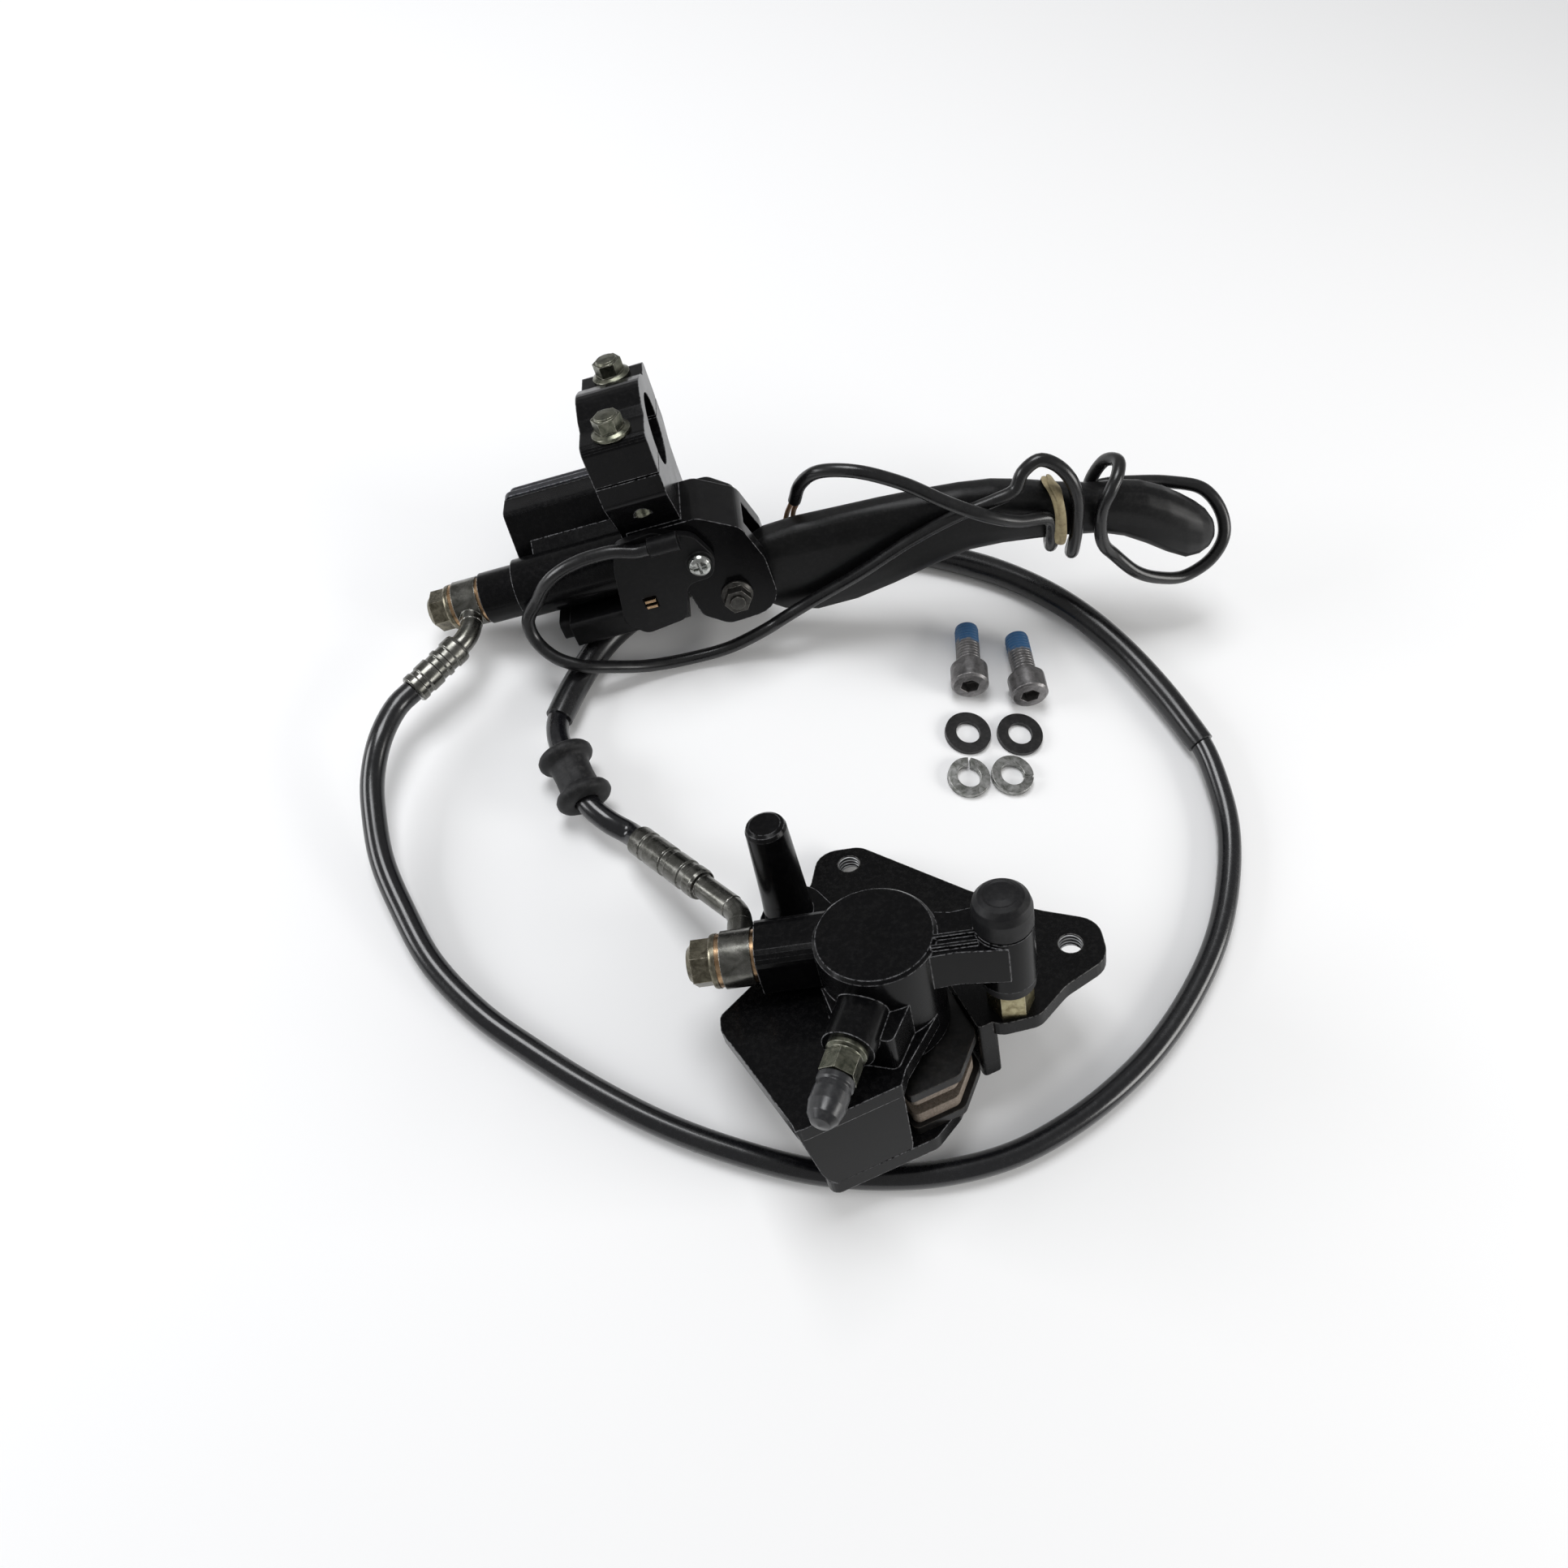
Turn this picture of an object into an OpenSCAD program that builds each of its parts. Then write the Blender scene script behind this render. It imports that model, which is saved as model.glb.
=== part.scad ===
// Front hydraulic disc brake set of a small motorcycle or scooter, laid out on a table:
// handlebar master cylinder with its lever, brake hose, and a sliding caliper on its bracket.
// Millimetres, +Z up. The origin is the middle of the footprint, on the table.

/* [Handlebar clamp] */
// Diameter of the handlebar that the clamp grips
bar_d = 22.2; // [21.8:0.1:22.6]
// Width of the clamp along the bar
clamp_w = 20; // [18:0.5:22]
// Wall of the clamp round the bar
clamp_wall = 4.9; // [4.5:0.1:5.3]
// Distance of each clamp bolt from the middle of the bar
clamp_bolt_y = 17.5; // [17.2:0.1:18]

/* [Master cylinder] */
// Bore of the master cylinder
master_bore = 12.7; // [12:0.1:13.2]
// Outside diameter of the barrel
barrel_d = 20; // [19.4:0.2:20.8]
// Length of the fluid reservoir along the bar
reservoir_len = 46; // [42:1:48]
// Wall of the reservoir
reservoir_wall = 3; // [2.4:0.2:3.4]
// Height of the reservoir lid
lid_h = 6.7; // [6:0.1:6.9]

/* [Lever] */
// Thickness of the lever at its pivot
lever_t = 12; // [11:0.2:12.4]
// Diameter of the lever's pivot bolt
pivot_d = 8; // [7:0.2:8.4]
// Clearance on each side of the lever between the ears
lever_gap = 0.3; // [0.2:0.05:0.5]

/* [Caliper] */
// Diameter of the caliper piston
piston_d = 25.3; // [24.8:0.1:25.3]
// Wall of the round piston housing round its piston
housing_wall = 3.65; // [3.4:0.05:3.8]
// Thickness of the friction lining of a new pad
lining_t = 4; // [3:0.1:4.1]
// Thickness of a pad's steel plate
pad_plate_t = 3; // [2.6:0.1:3]
// Width of the bridge over the disc
bridge_w = 29; // [27:0.5:30]

/* [Bracket] */
// Thickness of the bracket plate
bracket_t = 5; // [4:0.2:5.2]
// Thread hole of each of the two bracket bolts
bracket_hole_d = 6.8; // [6.6:0.1:7.2]
// Diameter of the long slide pin
long_pin_d = 8; // [7.4:0.1:8.2]
// Diameter of the short slide pin
short_pin_d = 7; // [6.4:0.1:7.2]

/* [Hose and lead] */
// Diameter of the brake hose
hose_d = 7.4; // [6.8:0.1:7.5]
// Diameter of the protective sleeve over the hose
sleeve_d = 9.6; // [9.4:0.1:9.8]
// Diameter of the switch lead
lead_d = 4.4; // [4:0.1:4.6]

/* [Hidden] */

$fn = 64;
e = 0.01;

// Place of the two castings on the table
table_shift = [-1.13, -171.16, 0];
master_at = [-68.4, 251.6, 68.3];
master_turn = [-17.5, -16.5, 19];
caliper_at = [29.66, 107.66, 60.86];
caliper_turn = [-21.5, -15, 14];

// Named clearances
run_gap = 0.05;
bolt_gap = 0.05;
seat_gap = 0.3;

// Clamp: bar along x, lever side at +x
bar_r = bar_d / 2;
clamp_r = bar_r + clamp_wall;
lug_y = clamp_bolt_y + 5.8;
split_z = -2;
split_gap = 0.6;
lug_top = 11.7;
m6_r = 3;
clamp_bolt_end = -17;

// Barrel: its axis runs along x
by = -7.5;
bz = -38.5;
barrel_r = barrel_d / 2;
bore_r = master_bore / 2;
barrel_x0 = -62.3;
barrel_x1 = 6;
bore_x0 = -44;
boss_r = 8.6;
banjo_r = 5;
copper_t = 1.4;
eye_t = 8.3;

// Reservoir
res_x1 = -4;
res_x0 = res_x1 - reservoir_len;
res_z0 = -52.5;
res_z1 = -20;
res_rim_y = 18.5;
rubber_t = 0.8;
lid_y0 = res_rim_y + rubber_t;
lid_y1 = lid_y0 + lid_h;
lid_screw_x = [res_x0 + 6, res_x1 - 6];
lid_screw_z = (res_z0 + res_z1) / 2;
m4_r = 2;
m5_r = 2.5;

// Lever and its ears
piv_x = 19.5;
piv_z = -56;
lever_y = -5;
lev_y0 = lever_y - lever_t / 2;
lev_y1 = lever_y + lever_t / 2;
slot_y0 = lev_y0 - lever_gap;
slot_y1 = lev_y1 + lever_gap;
ear_y0 = -17;
ear_y1 = 7;
pivot_r = pivot_d / 2;
lever_boss_r = 12;
nose_x = 15.65;
nose_r = 3;
piston_x1 = nose_x - nose_r - 0.15;
switch_screw_at = [11.7, -38];

// Caliper: piston axis along z, outer face of the housing at z = 0
cal_piston_r = piston_d / 2;
cal_bore_r = cal_piston_r + run_gap;
house_r = cal_piston_r + housing_wall;
seal_groove_r = cal_bore_r + 1.9;
wiper_groove_r = cal_bore_r + 1.5;
house_z0 = -35;
long_pin_at = [33, -2.3];
short_pin_at = [-25.8, 31.6];
boss_top_r = 7.7;
block_x = -32.5;
port_y = 8;
port_z = -12;
lower_eye_t = 8.5;
plate_z1 = -33;
plate_z0 = plate_z1 - bracket_t;
pad_turn = 20;
disc_z = -45;
disc_gap = 4.5;
pad_x0 = -28;
pad_x1 = 18;
in_lining_z1 = disc_z + disc_gap / 2 + lining_t;
out_lining_z0 = disc_z - disc_gap / 2 - lining_t;
finger_z1 = out_lining_z0 - pad_plate_t - run_gap;
finger_z0 = -59.5;
wing_z0 = -29;
wing_z1 = -24;
bleed_at = [-10, -26];

function unit(v) = v / norm(v);
function turned(p, a) =
    let (sx = sin(a.x), cx = cos(a.x), sy = sin(a.y), cy = cos(a.y), sz = sin(a.z), cz = cos(a.z),
        q = [p.x, cx * p.y - sx * p.z, sx * p.y + cx * p.z],
        r = [cy * q.x + sy * q.z, q.y, cy * q.z - sy * q.x])
    [cz * r.x - sz * r.y, sz * r.x + cz * r.y, r.z];
function master_pt(p) = turned(p, master_turn) + master_at;
function caliper_pt(p) = turned(p, caliper_turn) + caliper_at;

module at_table() { translate(table_shift) children(); }
module at_master() { at_table() translate(master_at) rotate(master_turn) children(); }
module at_caliper() { at_table() translate(caliper_at) rotate(caliper_turn) children(); }
module at_pads() { at_caliper() rotate([0, 0, pad_turn]) children(); }
// The z axis of the child runs from a to b
module along(a, b) {
    d = b - a;
    translate(a) rotate([0, acos(d.z / norm(d)), atan2(d.y, d.x)]) children();
}

// Corner b of an outline, rounded to radius r with n steps
function corner(a, b, c, r, n = 5) = r <= 0 ? [b] :
    let (u = unit(a - b), v = unit(c - b), h = acos(u * v) / 2, o = b + unit(u + v) * r / sin(h),
        p = b + u * r / tan(h), q = b + v * r / tan(h), a0 = atan2(p.y - o.y, p.x - o.x),
        s = atan2(q.y - o.y, q.x - o.x) - a0, w = s > 180 ? s - 360 : s < -180 ? s + 360 : s)
    [for (i = [0 : n]) o + r * [cos(a0 + w * i / n), sin(a0 + w * i / n)]];
function rounded(pts, r) = let (k = len(pts))
    [for (i = [0 : k - 1])
        each corner(pts[(i + k - 1) % k], pts[i], pts[(i + 1) % k], is_list(r) ? r[i] : r)];
function box_outline(x0, x1, y0, y1) = [[x0, y0], [x1, y0], [x1, y1], [x0, y1]];

module slab_x(pts, x0, x1) { translate([x0, 0, 0]) rotate([90, 0, 90]) linear_extrude(x1 - x0)
    polygon(pts); }
module slab_y(pts, y0, y1) { translate([0, y1, 0]) rotate([90, 0, 0]) linear_extrude(y1 - y0) polygon(pts); }
module slab_z(pts, z0, z1) { translate([0, 0, z0]) linear_extrude(z1 - z0) polygon(pts); }
module rod_x(x0, x1, r, y, z) { translate([x0, y, z]) rotate([0, 90, 0]) cylinder(h = x1 - x0, r = r); }
module rod_y(y0, y1, r, x, z) { translate([x, y1, z]) rotate([90, 0, 0]) cylinder(h = y1 - y0, r = r); }
module rod_z(z0, z1, r, x, y) { translate([x, y, z0]) cylinder(h = z1 - z0, r = r); }
module ring_z(z0, z1, r, hole) {
    translate([0, 0, z0]) difference() {
        cylinder(h = z1 - z0, r = r);
        translate([0, 0, -e]) cylinder(h = z1 - z0 + 2 * e, r = hole);
    }
}
module hex_z(z0, z1, flats) { translate([0, 0, z0]) cylinder(h = z1 - z0, r = flats / sqrt(3), $fn = 6); }

// A skin through rings of points, closed at both ends
module loft(rings) {
    n = len(rings[0]);
    k = len(rings);
    polyhedron(points = [for (r = rings) each r],
        faces = concat([[for (j = [0 : n - 1]) j]], [[for (j = [n - 1 : -1 : 0]) (k - 1) * n + j]],
            [for (i = [0 : k - 2], j = [0 : n - 1]) let (a = i * n, b = a + n, m = (j + 1) % n)
                each [[a + j, b + j, b + m], [a + j, b + m, a + m]]]));
}
function way(p, i) = unit(p[min(i + 1, len(p) - 1)] - p[max(i - 1, 0)]);
function tube_rings(p, r, n) = [for (i = [0 : len(p) - 1])
    let (t = way(p, i), u = unit(cross(t, [0.05, 0.1, 1])), v = cross(t, u))
    [for (j = [0 : n - 1]) p[i] + r * (u * cos(360 * j / n) + v * sin(360 * j / n))]];
module tube(p, r, n) { loft(tube_rings(p, r, n)); }

// Master cylinder
ear_outline = rounded([[-8, -24], [15, -24], [27.5, -31.5], [32, -45], [33, -66], [14, -67.3],
    [6.2, -61], [4, -48.8], [-8, -46]], [0, 6, 6, 8, 9, 6, 4, 0, 0]);
mirror_at = [18.5, -42];
mirror_boss_r = 7.8;
mirror_hole_r = 4.2;
slot_outline = [[6.5, -33.6], [40, -33.6], [40, -80], [6.5, -80]];
reservoir_outline = rounded([[res_rim_y, res_z1], [9.5, res_z1], [4.4, -34], [4.4, -46], [8, res_z0],
    [res_rim_y, res_z0]],
    [0, 2, 3, 4, 4, 0]);
function reservoir_inside(w) = rounded([[res_rim_y + 1, res_z1 - w], [9.5 + w, res_z1 - w],
    [4.4 + w, -34 - w / 4], [4.4 + w, -46 + w / 4], [8 + w, res_z0 + w], [res_rim_y + 1, res_z0 + w]],
    [0, 2, 2, 2, 2, 0]);
clamp_half_outline = rounded([[-lug_y, split_z], [-lug_y, -9], [-lug_y + 4, -15.5], [-15, -23],
    [-15, -36], [17.5, -36], [17.5, -22], [lug_y - 5, -15.5], [lug_y, -9], [lug_y, split_z]],
    [0, 4, 5, 5, 0, 0, 5, 5, 4, 0]);

module barrel_profile(list) { rotate([0, 90, 0]) rotate_extrude() polygon(list); }
module on_barrel() { translate([0, by, bz]) children(); }

module master_cylinder_body() {
    color("#15161a") at_master() difference() {
        union() {
            slab_x(clamp_half_outline, -clamp_w / 2, clamp_w / 2);
            rod_x(-50, barrel_x1, barrel_r, by, bz);
            rod_x(barrel_x0, -40, boss_r, by, bz);
            slab_x(rounded([[-9, bz], [6, bz + 9], [8, bz + 4], [8, bz - 9], [2, bz - 9.5]], 1),
                res_x0 + 6, 4);
            slab_x(reservoir_outline, res_x0, res_x1);
            slab_y(ear_outline, ear_y0, ear_y1);
            slab_y(rounded([[-10, -27], [19, -27], [26, -32.5], [30, -44], [8, -50], [-10, -46]],
                [0, 5, 4, 4, 4, 0]), 4, 11);
            rod_y(5, 17, mirror_boss_r, mirror_at.x, mirror_at.y);
        }
        rod_x(-30, 30, bar_r, 0, 0);
        for (s = [-1, 1]) {
            rod_z(clamp_bolt_end, 0, m6_r + bolt_gap, 0, s * clamp_bolt_y);
            translate([-40, s * (lug_y + 9) - 9, -15.4]) cube([30, 18, 14]);
        }
        slab_y(slot_outline, slot_y0, slot_y1);
        rod_y(slot_y0, slot_y1, 17.6, piv_x, piv_z);
        rod_y(ear_y0 - 1, 12, pivot_r + run_gap, piv_x, piv_z);
        rod_y(ear_y1, 12, 7, piv_x, piv_z);
        rod_y(5.6, 18, mirror_hole_r, mirror_at.x, mirror_at.y);
        rod_y(ear_y0 - 1, slot_y0 + 1, m4_r + bolt_gap, switch_screw_at.x, switch_screw_at.y);
        rod_x(bore_x0, 20, bore_r, by, bz);
        rod_x(barrel_x0 - 1, -50, banjo_r + bolt_gap, by, bz);
        rod_x(-51, bore_x0 + 1, 2, by, bz);
        rod_x(2.1, 3.5, bore_r + 0.7, by, bz);
        difference() {
            slab_x(reservoir_inside(reservoir_wall), res_x0 + reservoir_wall, res_x1 - reservoir_wall);
            for (x = lid_screw_x)
                rod_y(0, 30, 4.6, x, lid_screw_z);
        }
        for (x = lid_screw_x)
            rod_y(res_rim_y - 9, res_rim_y + 1, m4_r + bolt_gap, x, lid_screw_z);
        rod_y(by, 12, 0.6, -29, bz);
        rod_y(by, 12, 1.3, -15, bz);
        rod_x(-20, 20, 1.55, -9, -50.6);
    }
}

module reservoir_lid() {
    color("#2b2e3a") at_master() difference() {
        union() {
            slab_y(rounded(box_outline(res_x0 - 0.6, res_x1 + 0.6, res_z0, res_z1 + 0.6), 2.5), lid_y0,
                lid_y0 + 3);
            slab_y(rounded(box_outline(res_x0 + 0.4, res_x1 - 0.4, res_z0 + 1, res_z1 - 0.4), 2.5),
                lid_y0, lid_y1);
        }
        slab_y(rounded(box_outline(res_x0 + 12, res_x1 - 12, res_z0 + 5, res_z1 - 5), 2), lid_y0 - 1,
            lid_y0 + 2.5);
        for (x = lid_screw_x) {
            rod_y(lid_y0 - 1, lid_y1 + 1, m4_r + 0.2, x, lid_screw_z);
            rod_y(lid_y1 - 2.6, lid_y1 + 1, 4.1, x, lid_screw_z);
        }
    }
}

module reservoir_diaphragm() {
    color("#101010") at_master() difference() {
        union() {
            slab_y(rounded(box_outline(res_x0, res_x1, res_z0 + 0.2, res_z1), 2.5), res_rim_y, lid_y0);
            slab_y(rounded(box_outline(res_x0 + 12, res_x1 - 12, res_z0 + 6, res_z1 - 6), 2), 12.5,
                res_rim_y + 0.2);
        }
        slab_y(rounded(box_outline(res_x0 + 13, res_x1 - 13, res_z0 + 7, res_z1 - 7), 2), 13.5, lid_y0 + 1);
        for (x = lid_screw_x)
            rod_y(res_rim_y - 1, lid_y0 + 1, m4_r + 0.2, x, lid_screw_z);
    }
}

module lid_screws() {
    color("#8d8f90") at_master() for (x = lid_screw_x) difference() {
        union() {
            rod_y(res_rim_y - 8, lid_y1 - 2, m4_r, x, lid_screw_z);
            rod_y(lid_y1 - 2.6, lid_y1 - 0.2, 3.9, x, lid_screw_z);
        }
        translate([x - 2.6, lid_y1 - 1.4, lid_screw_z - 0.5]) cube([5.2, 3, 1]);
        translate([x - 0.5, lid_y1 - 1.4, lid_screw_z - 2.6]) cube([1, 3, 5.2]);
    }
}

clamp_cap_outline = rounded([[-lug_y, split_z + split_gap], [-lug_y, lug_top], [-12.4, lug_top],
    [-9.4, 13.8], [0, clamp_r + 0.9], [9.4, 13.8], [12.4, lug_top], [lug_y, lug_top],
    [lug_y, split_z + split_gap]], [0, 2.6, 1.5, 3, 14, 3, 1.5, 2.6, 0]);

module clamp_cap() {
    color("#15161a") at_master() difference() {
        slab_x(clamp_cap_outline, -clamp_w / 2, clamp_w / 2);
        rod_x(-30, 30, bar_r, 0, 0);
        for (s = [-1, 1])
            rod_z(-5, 30, m6_r + 0.3, 0, s * clamp_bolt_y);
    }
}

module clamp_bolts() {
    color("#8a8770") at_master() for (s = [-1, 1]) translate([0, s * clamp_bolt_y, 0]) {
        rod_z(clamp_bolt_end + 0.5, lug_top + 1, m6_r, 0, 0);
        rotate_extrude() polygon([[0, lug_top], [6, lug_top], [6, lug_top + 0.9], [4.8, lug_top + 1.6],
            [0, lug_top + 1.6]]);
        hex_z(lug_top + 1, lug_top + 5.4, 8);
        rotate_extrude() polygon([[0, lug_top + 5], [3.7, lug_top + 5], [3.2, lug_top + 6], [0,
            lug_top + 6.2]]);
    }
}

// Lever
// Stations of the blade: x, upper edge, lower edge, half thickness, squareness
blade = [[23, -47, -65, 5.6, 5], [33, -42.8, -73.5, 6, 5], [44, -42, -77.8, 6, 4.5], [58, -42.6, -78, 6, 4],
    [72, -43.2, -75.5, 6.2, 3.6], [86, -44.2, -72.2, 6.4, 3.2], [99, -45.6, -70, 6.4, 3], [110, -47.6,
        -70.6, 6.4, 3],
    [121, -51.2, -72.4, 6.4, 2.8], [132, -55.6, -74.4, 6.4, 2.6], [143, -59.4, -77, 6.6, 2.5],
    [151, -60.6, -81, 7, 2.4], [159, -63.2, -87, 7.6, 2.3], [166, -67.5, -92.8, 8, 2.3], [172, -72.4,
        -96.8, 8, 2.3],
    [177, -77, -97, 7.2, 2.2], [180.5, -81, -95.5, 5.4, 2.2], [182.6, -85, -93, 3, 2.2]];
function blade_ring(s, grow, n = 16) = [for (j = [0 : n - 1])
    let (a = 360 * (j + 0.5) / n, c = cos(a), d = sin(a))
    [s[0], lever_y + (s[3] + grow) * sign(c) * pow(abs(c), 2 / s[4]),
        (s[1] + s[2]) / 2 + ((s[1] - s[2]) / 2 + grow) * sign(d) * pow(abs(d), 2 / s[4])]];
// Blade section at any x, between its stations
function blade_at(x) = let (i = max([for (k = [0 : len(blade) - 2]) blade[k][0] <= x ? k : 0]),
    t = (x - blade[i][0]) / (blade[i + 1][0] - blade[i][0])) blade[i] * (1 - t) + blade[i + 1] * t;
module blade_collar(x0, x1, gap, thick) {
    steps = 3;
    difference() {
        loft([for (i = [0 : steps]) blade_ring(blade_at(x0 + (x1 - x0) * i / steps), gap + thick)]);
        loft([for (i = [-1 : steps + 1]) blade_ring(blade_at(x0 + (x1 - x0) * i / steps), gap)]);
    }
}

module brake_lever() {
    color("#17181b") at_master() difference() {
        union() {
            loft([for (s = blade) blade_ring(s, 0)]);
            rod_y(lev_y0, lev_y1, lever_boss_r, piv_x, piv_z);
            slab_y([[13.4, -46.6], [nose_x - nose_r, bz], [nose_x + nose_r, bz], [27, -47]], lev_y0,
                lev_y1);
            rod_y(lev_y0, lev_y1, nose_r, nose_x, bz);
            slab_y([[5.2, -55], [9, -57], [13, -57], [13, -47], [5.2, -47]], lev_y0, lev_y1 - 5);
        }
        rod_y(lev_y0 - 1, lev_y1 + 1, pivot_r + run_gap, piv_x, piv_z);
    }
}

module lever_pivot_bolt() {
    color("#3a3b3d") at_master() {
        rod_y(ear_y0 - 5.4, ear_y0 + 1, m5_r, piv_x, piv_z);
        rod_y(ear_y0 + 0.2, ear_y1 + 1, pivot_r, piv_x, piv_z);
        translate([piv_x, ear_y1, piv_z]) rotate([-90, 0, 0]) {
            hex_z(0, 4, 10);
            rotate_extrude() polygon([[0, 0], [6.6, 0], [6.6, 0.8], [0, 1]]);
        }
    }
}

module lever_pivot_nut() {
    color("#4c4a3c") at_master() translate([piv_x, ear_y0, piv_z]) rotate([90, 0, 0]) difference() {
        union() {
            rotate_extrude() polygon([[0, 0], [5.4, 0], [5.4, 0.8], [4.5, 1.5], [0, 1.5]]);
            hex_z(0.8, 4.7, 8);
        }
        translate([0, 0, -1]) cylinder(h = 8, r = m5_r + bolt_gap);
    }
}

// Inside the barrel
cup_x = [-27.5, -11.5];
cup_in = [3, 4];

module master_piston() {
    color("#b9bcc0") at_master() on_barrel() barrel_profile([[0, -30], [2.4, -30], [2.4, -28],
        [cup_in[0], -28],
        [cup_in[0], -24], [6.3, -24], [6.3, -21.5], [cup_in[1], -20], [cup_in[1], -8], [6.3, -8],
        [6.3, 1.6], [pivot_r, 1.6], [4, piston_x1 - 0.8], [3.2, piston_x1], [0, piston_x1]]);
}

module piston_cups() {
    color("#1b1b1b") at_master() on_barrel() for (i = [0, 1])
        barrel_profile([[cup_in[i], cup_x[i]], [5, cup_x[i]], [bore_r - 0.02, cup_x[i] - 0.4 * (1 - i)],
            [bore_r - 0.02, cup_x[i] + 3], [bore_r - 0.3, cup_x[i] + 3.5], [cup_in[i], cup_x[i] + 3.5]]);
}

// Coil spring round the x axis
spring_turns = 5;
spring_rings = [for (i = [0 : spring_turns * 10])
    let (a = 36 * i, x = -43.2 + 14.4 * i / (spring_turns * 10))
    [for (j = [0 : 5]) let (r = 4.6 + 0.5 * cos(60 * j)) [x + 0.5 * sin(60 * j), r * cos(a), r * sin(a)]]];

module return_spring() { color("#a8a8a8") at_master() on_barrel() loft(spring_rings); }

module piston_circlip() {
    color("#77787a") at_master() on_barrel() difference() {
        rotate([0, 90, 0]) ring_z(2.3, 3.3, bore_r + 0.6, 4.6);
        translate([2, 3, -1.5]) cube([2, 6, 3]);
    }
}

module piston_dust_boot() {
    color("#141414") at_master() on_barrel() barrel_profile([[4.1, 3.8], [bore_r - 0.05, 3.8],
        [bore_r - 0.05, 5.8], [5.4, 6.3], [4.1, 6.3]]);
}

// Brake light switch and its lead
switch_plate_outline = rounded([[-15.5, -33], [-12.5, -24], [0, -22.6], [12.5, -28], [17, -37.5],
    [14.5, -44.5], [5.5, -45], [1.5, -58], [-13, -60], [-19, -54]], [4, 4, 6, 6, 5, 4, 4, 4, 4, 6]);
switch_y0 = -20.4;
switch_y1 = -17.4;
module brake_switch() {
    color("#1c1c1e") at_master() difference() {
        union() {
            slab_x(rounded([[-20, -59], [-20, -49.2], [-4, -49.2], [-4, -59]], [2, 1.5, 1, 3]), -37, 2.4);
            slab_x(rounded([[-17, -57], [-17, -49.8], [-6, -49.8], [-6, -57]], 2), -41, -36);
            slab_y(switch_plate_outline, switch_y0, switch_y1);
            rod_y(switch_y0 - 0.6, switch_y1, 4.4, switch_screw_at.x, switch_screw_at.y);
            rod_x(-1.5, 8, 3, switch_y0 - 2.1, -26.4);
        }
        rod_y(-25, 0, m4_r + bolt_gap, switch_screw_at.x, switch_screw_at.y);
        rod_x(-9, 10, 1.6, -9, -50.6);
        rod_x(barrel_x0, 20, barrel_r + 0.3, by, bz);
        translate([-30, ear_y0 - 0.3, -30]) cube([60, 20, 20]);
        translate([-10.3, switch_y0 - 1, -50.4]) cube([4.6, 2.2, 4.6]);
    }
}

module switch_terminals() {
    color("#c07a3e") at_master() for (z = [-49.8, -47.6])
        translate([-9.8, switch_y0 - 0.9, z]) cube([3.6, 1.8, 1]);
}

module switch_plunger() {
    color("#c9c9c4") at_master() rod_x(-6.4, 5, 1.5, -9, -50.6);
}

module switch_screw() {
    color("#d8dadb") at_master() translate([switch_screw_at.x, switch_y0 - 0.65,
        switch_screw_at.y]) rotate([90, 0,
        0]) difference() {
        union() {
            translate([0, 0, -8.5]) cylinder(h = 9, r = m4_r);
            rotate_extrude() polygon([[0, 0], [3.85, 0], [3.85, 1], [3.4, 1.9], [2.4, 2.5], [0, 2.8]]);
        }
        for (a = [0, 90])
            rotate([0, 0, a]) translate([-2.2, -0.45, 1.6]) cube([4.4, 0.9, 3]);
    }
}

lead_r = lead_d / 2;
// The lead leaves the switch, loops past the barrel and lies across the table to the lever
lead_route = [each [for (p = [[-1.8, -22.8, -26.4], [-6, -22.8, -26.2], [-12, -22.8, -24.2],
    [-18, -22.8, -23.8], [-24, -22.8, -24.2], [-31, -22.8, -26], [-37, -22.6, -29.4],
    [-42, -22.2, -34.6]]) master_pt(p)],
    [-92, 207, 24], [-89, 204, 18], [-82, 201, 15], [-73, 201, 13],
        [-64, 205, 9.5],
    [-53, 211, 5], [-40, 218, 3.5], [-27, 224, 6], [-15, 230, 13]];
lever_lead_route = [[30.5, -16.5, -71.8], [43, -14, -69], [61, -13.8, -63], [79, -13.8, -55.6], [96, -14,
    -50.5], [112, -14, -49],
    [125.2, -14.4, -52.5]];
tail_route = [[125.2, -14.4, -61], [114, -17.6, -56], [105, -18.9, -50.5], [94, -17, -43.5], [80, -14,
    -33], [66, -12, -25.5], [55, -8, -25],
    [49, -4, -30], [45.5, 0, -38]];
core_route = [[45.4, 0.3, -38.6], [43, 3.4, -44], [41, 5, -50]];

module switch_lead() { color("#121214") at_table() tube(lead_route, lead_r, 8); }
module lever_lead() { color("#121214") at_master() tube(lever_lead_route, lead_r, 8); }
module lead_tail() { color("#121214") at_master() tube(tail_route, lead_r, 8); }
module lead_cores() {
    color("#a98a62") at_master() for (s = [-1, 1])
        tube([for (p = core_route) p + [s * 1.1, 0, 0]], 0.9, 6);
}

module lead_wrap() {
    color("#121214") at_master() {
        blade_collar(131, 138, 0.2, lead_d);
        blade_collar(144.5, 151, 0.2, lead_d);
        tube([[150, -14.5, -84], [150, -13, -92], [154, -12, -100], [162, -11, -106], [172, -9, -108],
            [182, -7, -104],
            [188, -5, -97], [189, -3, -90], [186, 0, -80], [180, 2, -74]], lead_r, 8);
    }
}

module tie_band() { color("#b8a06e") at_master() blade_collar(125.5, 130, 0.3, 5.4); }

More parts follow.
